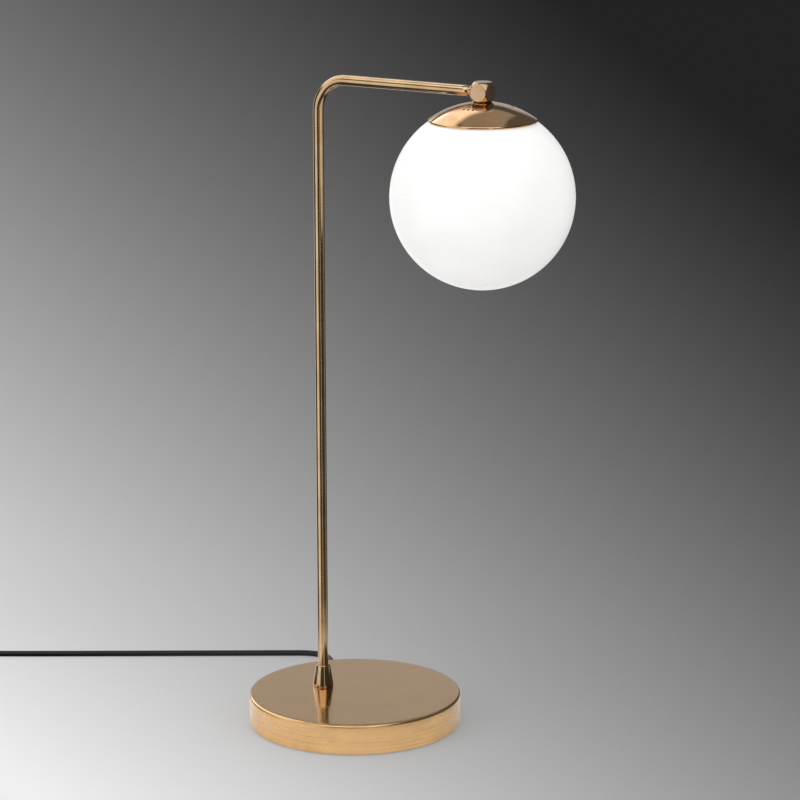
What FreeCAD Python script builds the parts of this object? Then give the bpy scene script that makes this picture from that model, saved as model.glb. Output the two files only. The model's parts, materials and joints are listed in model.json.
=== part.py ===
import FreeCAD, Part
import math
import os
from types import SimpleNamespace

import Sketcher
from FreeCAD import Placement, Rotation, Vector

# Glass globe table lamp. The origin is on the floor under the middle of the round base,
# +Z is up and +X runs from the stem along the arm to the globe. Lengths are in millimetres.

DRIVING = {
    # base
    "base_radius": 90, "base_height": 26.5, "cover_wall": 1, "edge_radius": 2, "cover_foot": 1.2,
    "felt_radius": 86, "felt_top": 2, "plate_radius": 88.4, "plate_thickness": 2,
    "ballast_radius": 88.8, "ballast_thickness": 8, "ballast_rim": 8.8, "ballast_chamfer": 1.5,
    "plate_screw_circle": 84.4, "plate_screw_radius": 2, "plate_screw_head": 3.6,
    "plate_screw_length": 12, "stem_offset": 32,
    # cord entry, on a line through the base's middle
    "entry_angle": 130, "gland_tilt": 6, "gland_height": 8.6, "gland_neck_radius": 3.9,
    "gland_flange_radius": 5.2, "gland_flange": 1.6, "gland_tail_end": 110, "gland_tip_radius": 3.3,
    "cord_radius": 2.6, "core_radius": 0.9, "thin_gap": 0.05,
    "clamp_place": 48, "cord_height_inside": 14.8,
    "block_start": 8, "block_length": 24, "block_width": 16, "block_foot": 6.5,
    "block_bore_spacing": 8, "block_bore_height": 12, "block_bore_radius": 1.7,
    # stem, arm and elbow
    "tube_radius": 4.4, "tube_bore": 3, "tube_foot": 11, "neck_radius": 3.9, "bend_radius": 27,
    "arm_height": 551.2, "arm_reach": 156, "tube_end_gap": 12.5, "neck_end_gap": 5.1,
    "collar_height": 19, "collar_top_radius": 6, "collar_foot_radius": 8.65, "collar_band": 2,
    "washer_radius": 9, "washer_thickness": 1.5, "stem_nut_thickness": 4.5, "nut_flats": 14,
    "ball_radius": 10.8, "ball_half": 8.2, "lock_ring_radius": 5.1, "lock_ring_width": 2,
    "nipple_radius": 4.9, "nipple_bore": 3.5, "nipple_top": 548, "nipple_foot": 527,
    # dome cap and what it clamps
    "seat_height": 543, "seat_radius": 8.5, "dome_radius": 75.5, "dome_wall": 0.8,
    "rim_radius": 44.2, "rim_foot": 527.1, "rim_shoulder": 1.2, "rim_shoulder_height": 528.9,
    "vent_radius": 1, "vent_circle": 23.5, "vent_step": 10, "vent_first": 20,
    "cap_washer_radius": 8.4, "cap_washer_thickness": 1, "clip_thickness": 0.6, "clip_width": 8,
    "clip_hub_radius": 11.5, "cap_nut_thickness": 3.5,
    # globe
    "globe_radius": 75, "glass_wall": 3, "globe_height": 466, "mouth_radius": 40,
    # lampholder and bulb
    "holder_top": 536.4, "holder_neck_radius": 8, "holder_radius": 20, "holder_wall": 1.8,
    "holder_split": 514, "holder_foot": 484, "insert_radius": 17.8, "insert_top": 513.5,
    "sleeve_radius": 14.9, "sleeve_wall": 0.7, "sleeve_foot": 487, "sleeve_top": 504,
    "bulb_radius": 22.5, "bulb_height": 447.5, "bulb_wall": 1, "bulb_cap_radius": 13.1,
    "bulb_cap_foot": 478.5, "bulb_cap_top": 499.5, "bulb_tip": 503,
    "wire_radius": 1, "wire_spacing": 2.3,
    # cord outside the base: coil, switch, plug
    "coil_outer_radius": 39, "coil_pitch": 5.7, "coil_layer": 5.8, "coil_height": 3.45,
    "tie_thickness": 0.8, "tie_width": 7,
    "switch_length": 62, "switch_width": 27, "switch_split": 9.5, "switch_height": 19,
    "switch_wall": 1.6, "switch_corner": 7, "switch_cord_height": 8, "window_length": 17.8,
    "window_width": 11.4, "pivot_height": 15.2, "pivot_radius": 1.2, "rocker_tilt": 10,
    "plug_thickness": 13.7, "plug_half_width": 17.65, "plug_back": 20, "plug_front": 20,
    "pin_radius": 2, "pin_length": 19, "pin_spacing": 18.6, "pin_root": 5,
    "pin_root_radius": 1.5, "plug_tail_end": 40,
}

# The free cord's route, chosen by hand: from the gland's tip along the floor to the switch,
# from the switch to the coil, and from the coil to the plug.
ROUTE_TO_SWITCH = [(-70.7, 84.3, 6.5), (-84.2, 100.4, 4.3), (-116.0, 138.3, 2.65),
                   (-375.2, -18.7, 2.65), (-390.6, -28.0, 3.6), (-402.5, -35.2, 6.2),
                   (-412.8, -41.5, 8.0), (-423.9, -48.2, 8.0)]
ROUTE_TO_COIL = [(-463.3, -72.0, 8.0), (-474.4, -78.8, 8.0), (-488.9, -87.6, 6.2),
                 (-504.3, -96.9, 3.9), (-516.3, -104.1, 3.45), (-523.8, -108.7, 3.45)]
ROUTE_TO_PLUG = [(-564.2, -41.9, 9.25), (-553.3, -35.3, 9.25), (-540.4, -25.7, 7.2),
                 (-528.0, -17.2, 6.85), (-517.0, -10.4, 6.85)]
COIL_MIDDLE = (-548.5, -78.0)
COIL_START_ANGLE = -58.8
COIL_TURNS = 6.5
CORD_HEADING = 211.2
SWITCH_MIDDLE = (-443.6, -60.1)
PLUG_MIDDLE = (-482.7, 10.3)

doc = FreeCAD.newDocument("GlobeTableLamp")
sheet = doc.addObject("Spreadsheet::Sheet", "Sizes")
for row, (name, value) in enumerate(DRIVING.items(), start=1):
    sheet.set(f"A{row}", name)
    sheet.set(f"B{row}", str(value))
    sheet.setAlias(f"B{row}", name)
doc.recompute()


class Size:
    """A size kept both as a number and as the formula of sheet cells that it comes from."""

    def __init__(self, number, formula=None):
        self.number = float(number)
        self.formula = formula or f"({self.number:.6f})"

    def joined(self, sign, other, number):
        return Size(number, f"({self.formula} {sign} {other.formula})")

    def __add__(self, other):
        other = sized(other)
        return self.joined("+", other, self.number + other.number)

    def __sub__(self, other):
        other = sized(other)
        return self.joined("-", other, self.number - other.number)

    def __mul__(self, other):
        other = sized(other)
        return self.joined("*", other, self.number * other.number)

    def __truediv__(self, other):
        other = sized(other)
        return self.joined("/", other, self.number / other.number)

    def __radd__(self, other):
        return sized(other) + self

    def __rsub__(self, other):
        return sized(other) - self

    def __rmul__(self, other):
        return sized(other) * self

    def __neg__(self):
        return sized(0) - self


def sized(value):
    return value if isinstance(value, Size) else Size(value)


def root(size):
    return Size(math.sqrt(size.number), f"sqrt({size.formula})")


def cosine(degrees):
    return Size(math.cos(math.radians(degrees.number)), f"cos({degrees.formula})")


def sine(degrees):
    return Size(math.sin(math.radians(degrees.number)), f"sin({degrees.formula})")


D = SimpleNamespace(**{name: Size(value, f"Sizes.{name}") for name, value in DRIVING.items()})
pieces = []


def on_circle(radius, angle):
    """A point of the plane at this radius and angle in degrees."""
    turn = math.radians(angle)
    return radius * math.cos(turn), radius * math.sin(turn)


# ---------------------------------------------------------------- making pieces


def kept(piece, label):
    """Name a finished piece and put it on the list of sub-parts."""
    piece.Label = label
    pieces.append(piece)
    return piece


def stand(piece, x=0, y=0, z=0, rotation=None):
    """Turn a piece, then bind its place to the sheet."""
    piece.Placement = Placement(Vector(0, 0, 0), rotation or Rotation())
    for axis, size in (("x", x), ("y", y), ("z", z)):
        piece.setExpression(f"Placement.Base.{axis}", sized(size).formula)
    return piece


def body(name):
    return doc.addObject("PartDesign::Body", name + "_body")


def sketch_on(owner, plane, lift=0):
    """A sketch on one of its body's own origin planes, lifted along the plane's normal."""
    sketch = owner.newObject("Sketcher::SketchObject", owner.Name + "_sketch")
    support = next(f for f in owner.Origin.OriginFeatures if f.Role == plane)
    sketch.AttachmentSupport = [(support, "")]
    sketch.MapMode = "FlatFace"
    if lift:
        sketch.setExpression("AttachmentOffset.Base.z", sized(lift).formula)
    return sketch


def bound(sketch, kind, *targets, size):
    """Add a constraint whose value follows the sheet."""
    index = sketch.addConstraint(Sketcher.Constraint(kind, *targets, sized(size).number))
    if "Sizes." in sized(size).formula:
        sketch.setExpression(f"Constraints[{index}]", sized(size).formula)


def pinned(sketch, edge, end, x, y):
    """Hold one end of an edge at a place measured from the sketch's origin."""
    if sized(x).number == 0:
        sketch.addConstraint(Sketcher.Constraint("PointOnObject", edge, end, -2))
    else:
        bound(sketch, "DistanceX", -1, 1, edge, end, size=x)
    if sized(y).number == 0:
        sketch.addConstraint(Sketcher.Constraint("PointOnObject", edge, end, -1))
    else:
        bound(sketch, "DistanceY", -1, 1, edge, end, size=y)


def arc_over(start, end, radius):
    """The short arc from start to end; a positive radius has its centre on the left."""
    chord = end - start
    reach = math.sqrt(max(radius * radius - chord.Length ** 2 / 4, 0))
    left = Vector(-chord.y, chord.x, 0).normalize() * math.copysign(reach, radius)
    middle = (start + end) / 2 + left
    first, last = (start, end) if radius > 0 else (end, start)
    angles = [math.atan2(p.y - middle.y, p.x - middle.x) for p in (first, last)]
    if angles[1] < angles[0]:
        angles[1] += 2 * math.pi
    circle = Part.Circle(middle, Vector(0, 0, 1), abs(radius))
    return Part.ArcOfCircle(circle, *angles)


def outline(sketch, corners):
    """Close a loop through (x, y) corners; a third value bends the edge that leaves a corner."""
    spots = [Vector(sized(c[0]).number, sized(c[1]).number, 0) for c in corners]
    edges = []
    for index, corner in enumerate(corners):
        start, end = spots[index], spots[(index + 1) % len(spots)]
        bent = len(corner) == 3
        shape = arc_over(start, end, sized(corner[2]).number) if bent else Part.LineSegment(start, end)
        clockwise = bent and sized(corner[2]).number < 0
        edges.append((sketch.addGeometry(shape), 2 if clockwise else 1, 1 if clockwise else 2))
    for index, corner in enumerate(corners):
        edge, head, _ = edges[index]
        before, _, tail = edges[index - 1]
        sketch.addConstraint(Sketcher.Constraint("Coincident", before, tail, edge, head))
        pinned(sketch, edge, head, corner[0], corner[1])
        if len(corner) == 3:
            radius = sized(corner[2])
            bound(sketch, "Radius", edge, size=radius if radius.number > 0 else -radius)
    return sketch


def ring_marks(sketch, *circles):
    """Circles (x, y, radius) bound to the sheet."""
    for x, y, radius in circles:
        at = Vector(sized(x).number, sized(y).number, 0)
        edge = sketch.addGeometry(Part.Circle(at, Vector(0, 0, 1), sized(radius).number))
        pinned(sketch, edge, 3, x, y)
        bound(sketch, "Radius", edge, size=radius)
    return sketch


def turn_about_axis(owner, sketch):
    turned_solid = owner.newObject("PartDesign::Revolution", owner.Name + "_turn")
    turned_solid.Profile = sketch
    turned_solid.ReferenceAxis = (sketch, ["V_Axis"])
    turned_solid.Angle = 360
    return turned_solid


def turned(label, corners, **place):
    """A piece turned about its own Z axis from (radius, height) corners."""
    owner = body(label)
    turn_about_axis(owner, outline(sketch_on(owner, "XZ_Plane"), corners))
    return kept(stand(owner, **place), label)


def pad(owner, sketch, length, middle=False):
    feature = owner.newObject("PartDesign::Pad", owner.Name + "_pad")
    feature.Profile = sketch
    feature.setExpression("Length", sized(length).formula)
    if middle:
        feature.SideType = "Symmetric"
    return feature


def pocket(owner, sketch, length=None, towards_normal=False, middle=False):
    """Cut along the sketch's normal or against it; with no length it goes right through."""
    feature = owner.newObject("PartDesign::Pocket", owner.Name + "_pocket")
    feature.Profile = sketch
    if length is None:
        feature.Type = "ThroughAll"
    else:
        feature.setExpression("Length", sized(length).formula)
    if middle:
        feature.SideType = "Symmetric"
    feature.Reversed = towards_normal
    return feature


def soften(owner, feature, radius, chosen):
    """Round the feature's edges for which chosen(edge) is true."""
    doc.recompute()
    names = [f"Edge{i}" for i, edge in enumerate(feature.Shape.Edges, start=1) if chosen(edge)]
    rounding = owner.newObject("PartDesign::Fillet", owner.Name + "_rounding")
    rounding.Base = (feature, names)
    rounding.setExpression("Radius", sized(radius).formula)
    return rounding


def solid(kind, label, **sizes):
    """One of the basic solids, its sizes bound to the sheet."""
    item = doc.addObject("Part::" + kind, label)
    for name, size in sizes.items():
        item.setExpression(name, sized(size).formula)
    return item


def centred_box(label, length, width, height, z=0, x=0, y=0):
    """A box centred on x and y whose bottom is at z."""
    box = solid("Box", label, Length=length, Width=width, Height=height)
    return stand(box, x=sized(x) - sized(length) / 2, y=sized(y) - sized(width) / 2, z=z)


def rod(label, radius, length, rotation=None, **place):
    return stand(solid("Cylinder", label, Radius=radius, Height=length), rotation=rotation, **place)


def less(base, *tools):
    """Cut each tool from the base in turn."""
    for tool in tools:
        cut = doc.addObject("Part::Cut", base.Name + "_cut")
        cut.Base, cut.Tool = base, tool
        base = cut
    return base


def joined(label, *parts):
    fuse = doc.addObject("Part::MultiFuse", label + "_fuse")
    fuse.Shapes = list(parts)
    fuse.Refine = True
    return fuse


def shape_piece(label, shape, place=None):
    item = doc.addObject("Part::Feature", label + "_shape")
    item.Shape = shape
    item.Placement = place or Placement()
    return kept(item, label)


def repeated(label, shape, places):
    """Identical solids in one piece, one at each placement."""
    copies = []
    for place in places:
        copy = shape.copy()
        copy.Placement = place.multiply(copy.Placement)
        copies.append(copy)
    return shape_piece(label, Part.makeCompound(copies))


TO_X = Rotation(Vector(0, 1, 0), 90)
ALONG_ENTRY = Rotation(Vector(0, 0, 1), DRIVING["entry_angle"])
ALONG_CORD = Rotation(Vector(0, 0, 1), CORD_HEADING)


# ---------------------------------------------------------------- tubes, wires and the coil


def runs_and_turns(points):
    """Each corner's place, incoming and outgoing directions, turn and neighbouring runs."""
    steps = [b - a for a, b in zip(points, points[1:])]
    for index in range(1, len(points) - 1):
        before, after = steps[index - 1], steps[index]
        yield points[index], before, after, before.getAngle(after)


def widest_radii(points):
    """The largest arc at each corner that leaves a tenth of the shorter run straight."""
    radii = []
    for _, before, after, turn in runs_and_turns(points):
        radii.append(0.45 * min(before.Length, after.Length) / math.tan(turn / 2))
    return radii


def rounded_path(points, radii):
    """Straight runs joined by tangent arcs."""
    edges, last = [], points[0]
    for (corner, before, after, turn), radius in zip(runs_and_turns(points), radii):
        before, after = Vector(before).normalize(), Vector(after).normalize()
        back = radius * math.tan(turn / 2)
        start, end = corner - before * back, corner + after * back
        inward = (after - before).normalize()
        top = corner + inward * (radius / math.cos(turn / 2) - radius)
        edges.append(Part.LineSegment(last, start).toShape())
        edges.append(Part.Arc(start, top, end).toShape())
        last = end
    edges.append(Part.LineSegment(last, points[-1]).toShape())
    return Part.Wire(edges)


def tube_along(label, path, radius):
    """A round solid swept along a path; its volume is compared with section times length."""
    first = path.Edges[0]
    start, ahead = first.valueAt(first.FirstParameter), first.tangentAt(first.FirstParameter)
    section = Part.Wire(Part.makeCircle(radius, start, ahead))
    swept = path.makePipeShell([section], True, False)
    share = swept.Volume / (math.pi * radius ** 2 * path.Length)
    print(f"{label}: {path.Length:.1f} mm long, volume {share:.4f} of section times length")
    return swept


def routed(label, route, radius, radii=None):
    points = [Vector(*p) for p in route]
    radii = radii or widest_radii(points)
    print(f"{label}: radii", [round(r, 1) for r in radii])
    return tube_along(label, rounded_path(points, radii), radius)


def biarc(start, start_way, end, end_way):
    """Two arcs that join two places and leave and arrive in the given directions."""
    gap = end - start
    both = start_way + end_way
    slope, square = gap.dot(both), both.dot(both) - 4
    if abs(square) < 1e-9:
        reach = gap.dot(gap) / (2 * slope)
    else:
        reach = (slope - math.sqrt(slope ** 2 - square * gap.dot(gap))) / square
    near, far = start + start_way * reach, end - end_way * reach
    middle = (near + far) / 2
    edges = []
    for a, corner, b in ((start, near, middle), (middle, far, end)):
        half = (a + b) / 2 - corner
        # the arc's top lies on the line from the corner to the chord's middle
        turn = (corner - a).getAngle(b - corner)
        radius = reach / math.tan(turn / 2)
        top = corner + half.normalize() * (radius / math.cos(turn / 2) - radius)
        edges.append(Part.Arc(a, top, b).toShape())
    return edges


def coil_point(turn):
    """The coil winds in for half its turns and out again above, at a steady pitch."""
    middle = COIL_TURNS / 2
    pitch = DRIVING["coil_pitch"]
    radius = DRIVING["coil_outer_radius"] - pitch * (middle - abs(turn - middle))
    climb = min(max((turn - middle) * 2 + 0.5, 0), 1)
    height = DRIVING["coil_height"] + DRIVING["coil_layer"] * climb * climb * (3 - 2 * climb)
    x, y = on_circle(radius, COIL_START_ANGLE - 360 * turn)
    return Vector(COIL_MIDDLE[0] + x, COIL_MIDDLE[1] + y, height)


def coil_path():
    """Quarter turns joined by biarcs, with one straight diameter at each end."""
    quarters = int(COIL_TURNS * 4)
    spots = [coil_point(k / 4) for k in range(quarters + 1)]
    ways = []
    for k in range(quarters + 1):
        ahead = coil_point(k / 4 + 0.001) - coil_point(k / 4 - 0.001)
        ways.append(ahead.normalize())
    heading = Vector(*on_circle(1, CORD_HEADING), 0)
    ways[0], ways[-1] = heading, heading * -1
    lead = 2 * DRIVING["cord_radius"]
    edges = [Part.LineSegment(spots[0] - ways[0] * lead, spots[0]).toShape()]
    for k in range(quarters):
        edges += biarc(spots[k], ways[k], spots[k + 1], ways[k + 1])
    edges.append(Part.LineSegment(spots[-1], spots[-1] + ways[-1] * lead).toShape())
    return Part.Wire(edges)


def print_least_gap(path, radius):
    """Measure the coil's least gap to itself on points along its middle line."""
    points = path.discretize(Distance=2)
    apart = 8 * radius
    step = path.Length / (len(points) - 1)
    skip = int(apart / step)
    least = min((points[i] - points[j]).Length
                for i in range(len(points)) for j in range(i + skip, len(points)))
    print(f"mains_cord_coil: least gap to itself {least - 2 * radius:.2f} mm")


# ---------------------------------------------------------------- base

# The base's own X axis points at the cord entry; the stem stands at this place of it.
STEM_TURN = 180 - D.entry_angle
STEM_X, STEM_Y = D.stem_offset * cosine(STEM_TURN), D.stem_offset * sine(STEM_TURN)
SCREW_ANGLES = (60, 180, 300)


def make_base_cover():
    """Spun shell: flat top, rounded edge, straight side; a stem hole and a cord hole."""
    inner, ceiling = D.base_radius - D.cover_wall, D.base_height - D.cover_wall
    inner_round = D.edge_radius - D.cover_wall
    cover = body("base_cover")
    turn_about_axis(cover, outline(sketch_on(cover, "XZ_Plane"), [
        (0, ceiling), (inner - inner_round, ceiling, -inner_round),
        (inner, ceiling - inner_round), (inner, D.cover_foot), (D.base_radius, D.cover_foot),
        (D.base_radius, D.base_height - D.edge_radius, D.edge_radius),
        (D.base_radius - D.edge_radius, D.base_height), (0, D.base_height)]))
    stem_hole = ring_marks(sketch_on(cover, "XY_Plane"), (STEM_X, STEM_Y, D.tube_radius + 0.2))
    pocket(cover, stem_hole, towards_normal=True)
    cord_hole = ring_marks(sketch_on(cover, "YZ_Plane"),
                           (0, D.gland_height, D.gland_neck_radius + 0.25))
    pocket(cover, cord_hole, length=D.base_radius + 5, towards_normal=True)
    kept(stand(cover, rotation=ALONG_ENTRY), "base_cover")


def make_ballast():
    """Cast dish, open below: stem hole, cord slot in its rim, holes for screws."""
    top = D.base_height - D.cover_wall
    floor = top - D.ballast_thickness
    rim_inner = D.ballast_radius - D.ballast_rim
    plate_top = D.felt_top + D.plate_thickness
    dish = body("ballast_dish")
    turn_about_axis(dish, outline(sketch_on(dish, "XZ_Plane"), [
        (0, floor), (rim_inner, floor), (rim_inner, plate_top), (D.ballast_radius, plate_top),
        (D.ballast_radius, top - D.ballast_chamfer), (D.ballast_radius - D.ballast_chamfer, top),
        (0, top)]))
    stem_hole = ring_marks(sketch_on(dish, "XY_Plane"), (STEM_X, STEM_Y, D.tube_radius + 0.2))
    pocket(dish, stem_hole, towards_normal=True)
    slot_half, slot_top = 7, 15
    slot = outline(sketch_on(dish, "YZ_Plane"), [
        (-slot_half, plate_top - 1), (slot_half, plate_top - 1), (slot_half, slot_top),
        (-slot_half, slot_top)])
    pocket(dish, slot, length=D.base_radius + 5, towards_normal=True)
    rim_holes = [(D.plate_screw_circle * math.cos(math.radians(a)),
                  D.plate_screw_circle * math.sin(math.radians(a)),
                  D.plate_screw_radius + D.thin_gap) for a in SCREW_ANGLES]
    pocket(dish, ring_marks(sketch_on(dish, "XY_Plane", lift=plate_top), *rim_holes),
           length=D.plate_screw_length, towards_normal=True)
    small_holes = [(D.clamp_place, CLAMP_SCREW_REACH, 1.5), (D.clamp_place, -CLAMP_SCREW_REACH, 1.5),
                   (BLOCK_MIDDLE, 0, 1.5)]
    pocket(dish, ring_marks(sketch_on(dish, "XY_Plane", lift=floor), *small_holes),
           length=5, towards_normal=True)
    kept(stand(dish, rotation=ALONG_ENTRY), "ballast_dish")


def make_underside():
    """Bottom plate with countersunk screws, and the felt that the lamp rests on."""
    turned("felt_pad", [(0, 0), (D.felt_radius, 0), (D.felt_radius, D.felt_top), (0, D.felt_top)])
    plate = body("bottom_plate")
    face = ring_marks(sketch_on(plate, "XY_Plane", lift=D.felt_top), (0, 0, D.plate_radius))
    pad(plate, face, D.plate_thickness)
    doc.recompute()
    spots = [(D.plate_screw_circle * math.cos(math.radians(a)),
              D.plate_screw_circle * math.sin(math.radians(a)), 1) for a in SCREW_ANGLES]
    marks = ring_marks(sketch_on(plate, "XY_Plane", lift=D.felt_top), *spots)
    hole = plate.newObject("PartDesign::Hole", "plate_screw_holes")
    hole.Profile = marks
    hole.DepthType = "ThroughAll"
    hole.Reversed = True
    hole.setExpression("Diameter", ((D.plate_screw_radius + 0.15) * 2).formula)
    hole.HoleCutType = "Countersink"
    hole.HoleCutCustomValues = True
    hole.setExpression("HoleCutDiameter", ((D.plate_screw_head + 0.1) * 2).formula)
    hole.HoleCutCountersinkAngle = 90
    kept(stand(plate, rotation=ALONG_ENTRY), "bottom_plate")

    head, shank = DRIVING["plate_screw_head"], DRIVING["plate_screw_radius"]
    foot, length = DRIVING["felt_top"], DRIVING["plate_screw_length"]
    screw = Part.makeCone(head, shank, head - shank).fuse(Part.makeCylinder(shank, length))
    drive = Part.makeBox(0.9, 5, 1, Vector(-0.45, -2.5, 0))
    places = [Placement(Vector(*on_circle(DRIVING["plate_screw_circle"],
                                          a + DRIVING["entry_angle"]), foot), Rotation())
              for a in SCREW_ANGLES]
    repeated("bottom_plate_screws", screw.cut(drive).removeSplitter(), places)


# ---------------------------------------------------------------- cord entry and wiring

CLAMP_SCREW_REACH = 7.5
BLOCK_MIDDLE = D.block_start + D.block_length / 2


def entry_place(along, height, across=0):
    """A place measured along the cord entry's line from the base's middle."""
    x, y = on_circle(along, DRIVING["entry_angle"])
    side_x, side_y = on_circle(across, DRIVING["entry_angle"] + 90)
    return Vector(x + side_x, y + side_y, height)


# The gland passes the base's wall here and points outward and a little down.
GLAND_AT_WALL = entry_place(DRIVING["base_radius"], DRIVING["gland_height"])
GLAND_WAY = entry_place(1, -math.tan(math.radians(DRIVING["gland_tilt"]))).normalize()


def make_gland():
    """Moulded bush with a flange outside, a snap ring inside and a ribbed, tapered tail."""
    wall = DRIVING["base_radius"]
    outside, tip = wall + 0.75, D.gland_tail_end
    bore, tail = D.cord_radius + D.thin_gap, D.gland_flange_radius - 0.9
    snap = D.gland_neck_radius + 0.5
    corners = [(bore, wall - 4), (D.gland_neck_radius, wall - 4), (snap, wall - 2.8),
               (snap, wall - 1.75), (D.gland_neck_radius, wall - 1.75),
               (D.gland_neck_radius, outside),
               (D.gland_flange_radius, outside), (D.gland_flange_radius, outside + D.gland_flange)]
    ribs, groove = 5, 0.5
    start = outside + D.gland_flange
    step = (tip - start) / (2 * ribs)
    for rib in range(ribs):
        share = (2 * rib + 1) / (2 * ribs)
        radius = tail - (tail - D.gland_tip_radius) * share
        corners += [(radius, start + step * (2 * rib)), (radius, start + step * (2 * rib + 1)),
                    (radius - groove, start + step * (2 * rib + 1)),
                    (radius - groove, start + step * (2 * rib + 2))]
    corners.append((bore, tip))
    origin = GLAND_AT_WALL - GLAND_WAY * wall
    turned("cord_gland", corners, x=origin.x, y=origin.y, z=origin.z,
           rotation=Rotation(Vector(0, 0, 1), GLAND_WAY))


def make_cord_inside():
    """The mains cord from the gland's tip to the terminal block, its clamp and its cores."""
    inside_height, sheath_end = DRIVING["cord_height_inside"], 38
    tip = GLAND_AT_WALL + GLAND_WAY * (DRIVING["gland_tail_end"] - DRIVING["base_radius"])
    route = [tip, GLAND_AT_WALL - GLAND_WAY * 14, entry_place(60, inside_height),
             entry_place(sheath_end, inside_height)]
    shape_piece("mains_cord_inside", routed("mains_cord_inside", route, DRIVING["cord_radius"]))

    side = DRIVING["block_bore_spacing"] / 2
    bore_height = DRIVING["block_bore_height"]
    for label, across in (("mains_core_live", 1), ("mains_core_neutral", -1)):
        points = [entry_place(sheath_end, inside_height, across),
                  entry_place(sheath_end - 1.7, inside_height, across),
                  entry_place(sheath_end - 4.4, bore_height, across * side),
                  entry_place(sheath_end - 12, bore_height, across * side)]
        shape_piece(label, routed(label, points, DRIVING["core_radius"]))

    ear_low, arch_low = 15.5, 10.9
    ceiling = D.base_height - D.cover_wall - D.ballast_thickness
    ears = centred_box("clamp_ears", 8, 20.4, ceiling - ear_low, z=ear_low)
    arch = centred_box("clamp_arch", 8, 9.6, ceiling - arch_low, z=arch_low)
    groove = rod("clamp_groove", D.cord_radius + D.thin_gap, 20, rotation=TO_X, x=-10,
                 z=D.cord_height_inside)
    gap = centred_box("clamp_gap", 20, (D.cord_radius + D.thin_gap) * 2, 10, z=D.cord_height_inside)
    holes = [rod("clamp_hole", 1.6, 20, y=side_sign * CLAMP_SCREW_REACH, z=5)
             for side_sign in (-1, 1)]
    clamp = less(joined("cord_clamp", ears, arch), groove, gap, *holes)
    at = entry_place(DRIVING["clamp_place"], 0)
    clamp.Placement = Placement(at, ALONG_ENTRY)
    kept(clamp, "cord_clamp")
    places = [Placement(entry_place(DRIVING["clamp_place"], ear_low, side_sign * CLAMP_SCREW_REACH),
                        ALONG_ENTRY) for side_sign in (-1, 1)]
    repeated("cord_clamp_screws", pan_screw(2.6, 1.8, 1.45, 6.5), places)


def pan_screw(head_radius, head_height, shank_radius, length):
    """A screw driven from below: slotted head under z = 0, shank above it."""
    head = Part.makeCylinder(head_radius, head_height, Vector(0, 0, -head_height))
    slot = Part.makeBox(0.7, 2 * head_radius, 0.8, Vector(-0.35, -head_radius, -head_height))
    return head.cut(slot).fuse(Part.makeCylinder(shank_radius, length)).removeSplitter()


def make_terminal_block():
    ceiling = D.base_height - D.cover_wall - D.ballast_thickness
    height = ceiling - D.block_foot
    block = centred_box("block_box", D.block_length, D.block_width, height, z=D.block_foot)
    tools = []
    for side_sign in (-1, 1):
        across = D.block_bore_spacing / 2 * side_sign
        tools.append(rod("block_bore", D.block_bore_radius, 40, rotation=TO_X, x=-20, y=across,
                         z=D.block_bore_height))
        for along in (-7, 7):
            tools.append(rod("block_screw_well", 1.5, 6, x=along, y=across, z=D.block_foot - 1))
    tools.append(rod("block_fixing_hole", 1.5, 20, z=D.block_foot - 1))
    tools.append(rod("block_fixing_well", 2.7, 4, z=D.block_foot - 1))
    block = less(block, *tools)
    middle = entry_place(BLOCK_MIDDLE.number, 0)
    block.Placement = Placement(middle, ALONG_ENTRY)
    kept(block, "terminal_block")
    foot = DRIVING["block_foot"]
    places = []
    for side_sign in (-1, 1):
        for along in (-7, 7):
            at = entry_place(BLOCK_MIDDLE.number + along, foot + 1.2,
                             side_sign * DRIVING["block_bore_spacing"] / 2)
            places.append(Placement(at, ALONG_ENTRY))
    repeated("terminal_screws", pan_screw(1.4, 1, 1.2, 2), places)
    fixing = Placement(entry_place(BLOCK_MIDDLE.number, foot + 3), ALONG_ENTRY)
    repeated("terminal_block_screw", pan_screw(2.6, 1.8, 1.45, 12.5), [fixing])


def make_lamp_wires():
    """Two insulated wires from the terminal block up the stem and along the arm."""
    half = DRIVING["wire_spacing"] / 2
    stem, globe = -DRIVING["stem_offset"], DRIVING["arm_reach"] - DRIVING["stem_offset"]
    arm, side = DRIVING["arm_height"], DRIVING["block_bore_spacing"] / 2
    radii = [4, 4, 4.4, DRIVING["bend_radius"], 5, 5, 5]
    for label, sign in (("live_wire", 1), ("neutral_wire", -1)):
        y = sign * half
        block_exit = entry_place(DRIVING["block_start"] + 5, DRIVING["block_bore_height"], sign * side)
        leave = entry_place(DRIVING["block_start"] - 5, DRIVING["block_bore_height"], sign * side)
        turn_point = Vector(-7 - 1.8 * sign, -14 + 2.2 * sign, 6.4)
        points = [block_exit, leave, turn_point, Vector(stem, y, 6.4), Vector(stem, y, arm),
                  Vector(globe, y, arm), Vector(globe, y, 528),
                  Vector(globe, sign * 9, 519.5), Vector(globe, sign * 9, DRIVING["insert_top"])]
        shape_piece(label, routed(label, points, DRIVING["wire_radius"], radii))


# ---------------------------------------------------------------- stem, arm and elbow

GLOBE_X = D.arm_reach - D.stem_offset


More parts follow.
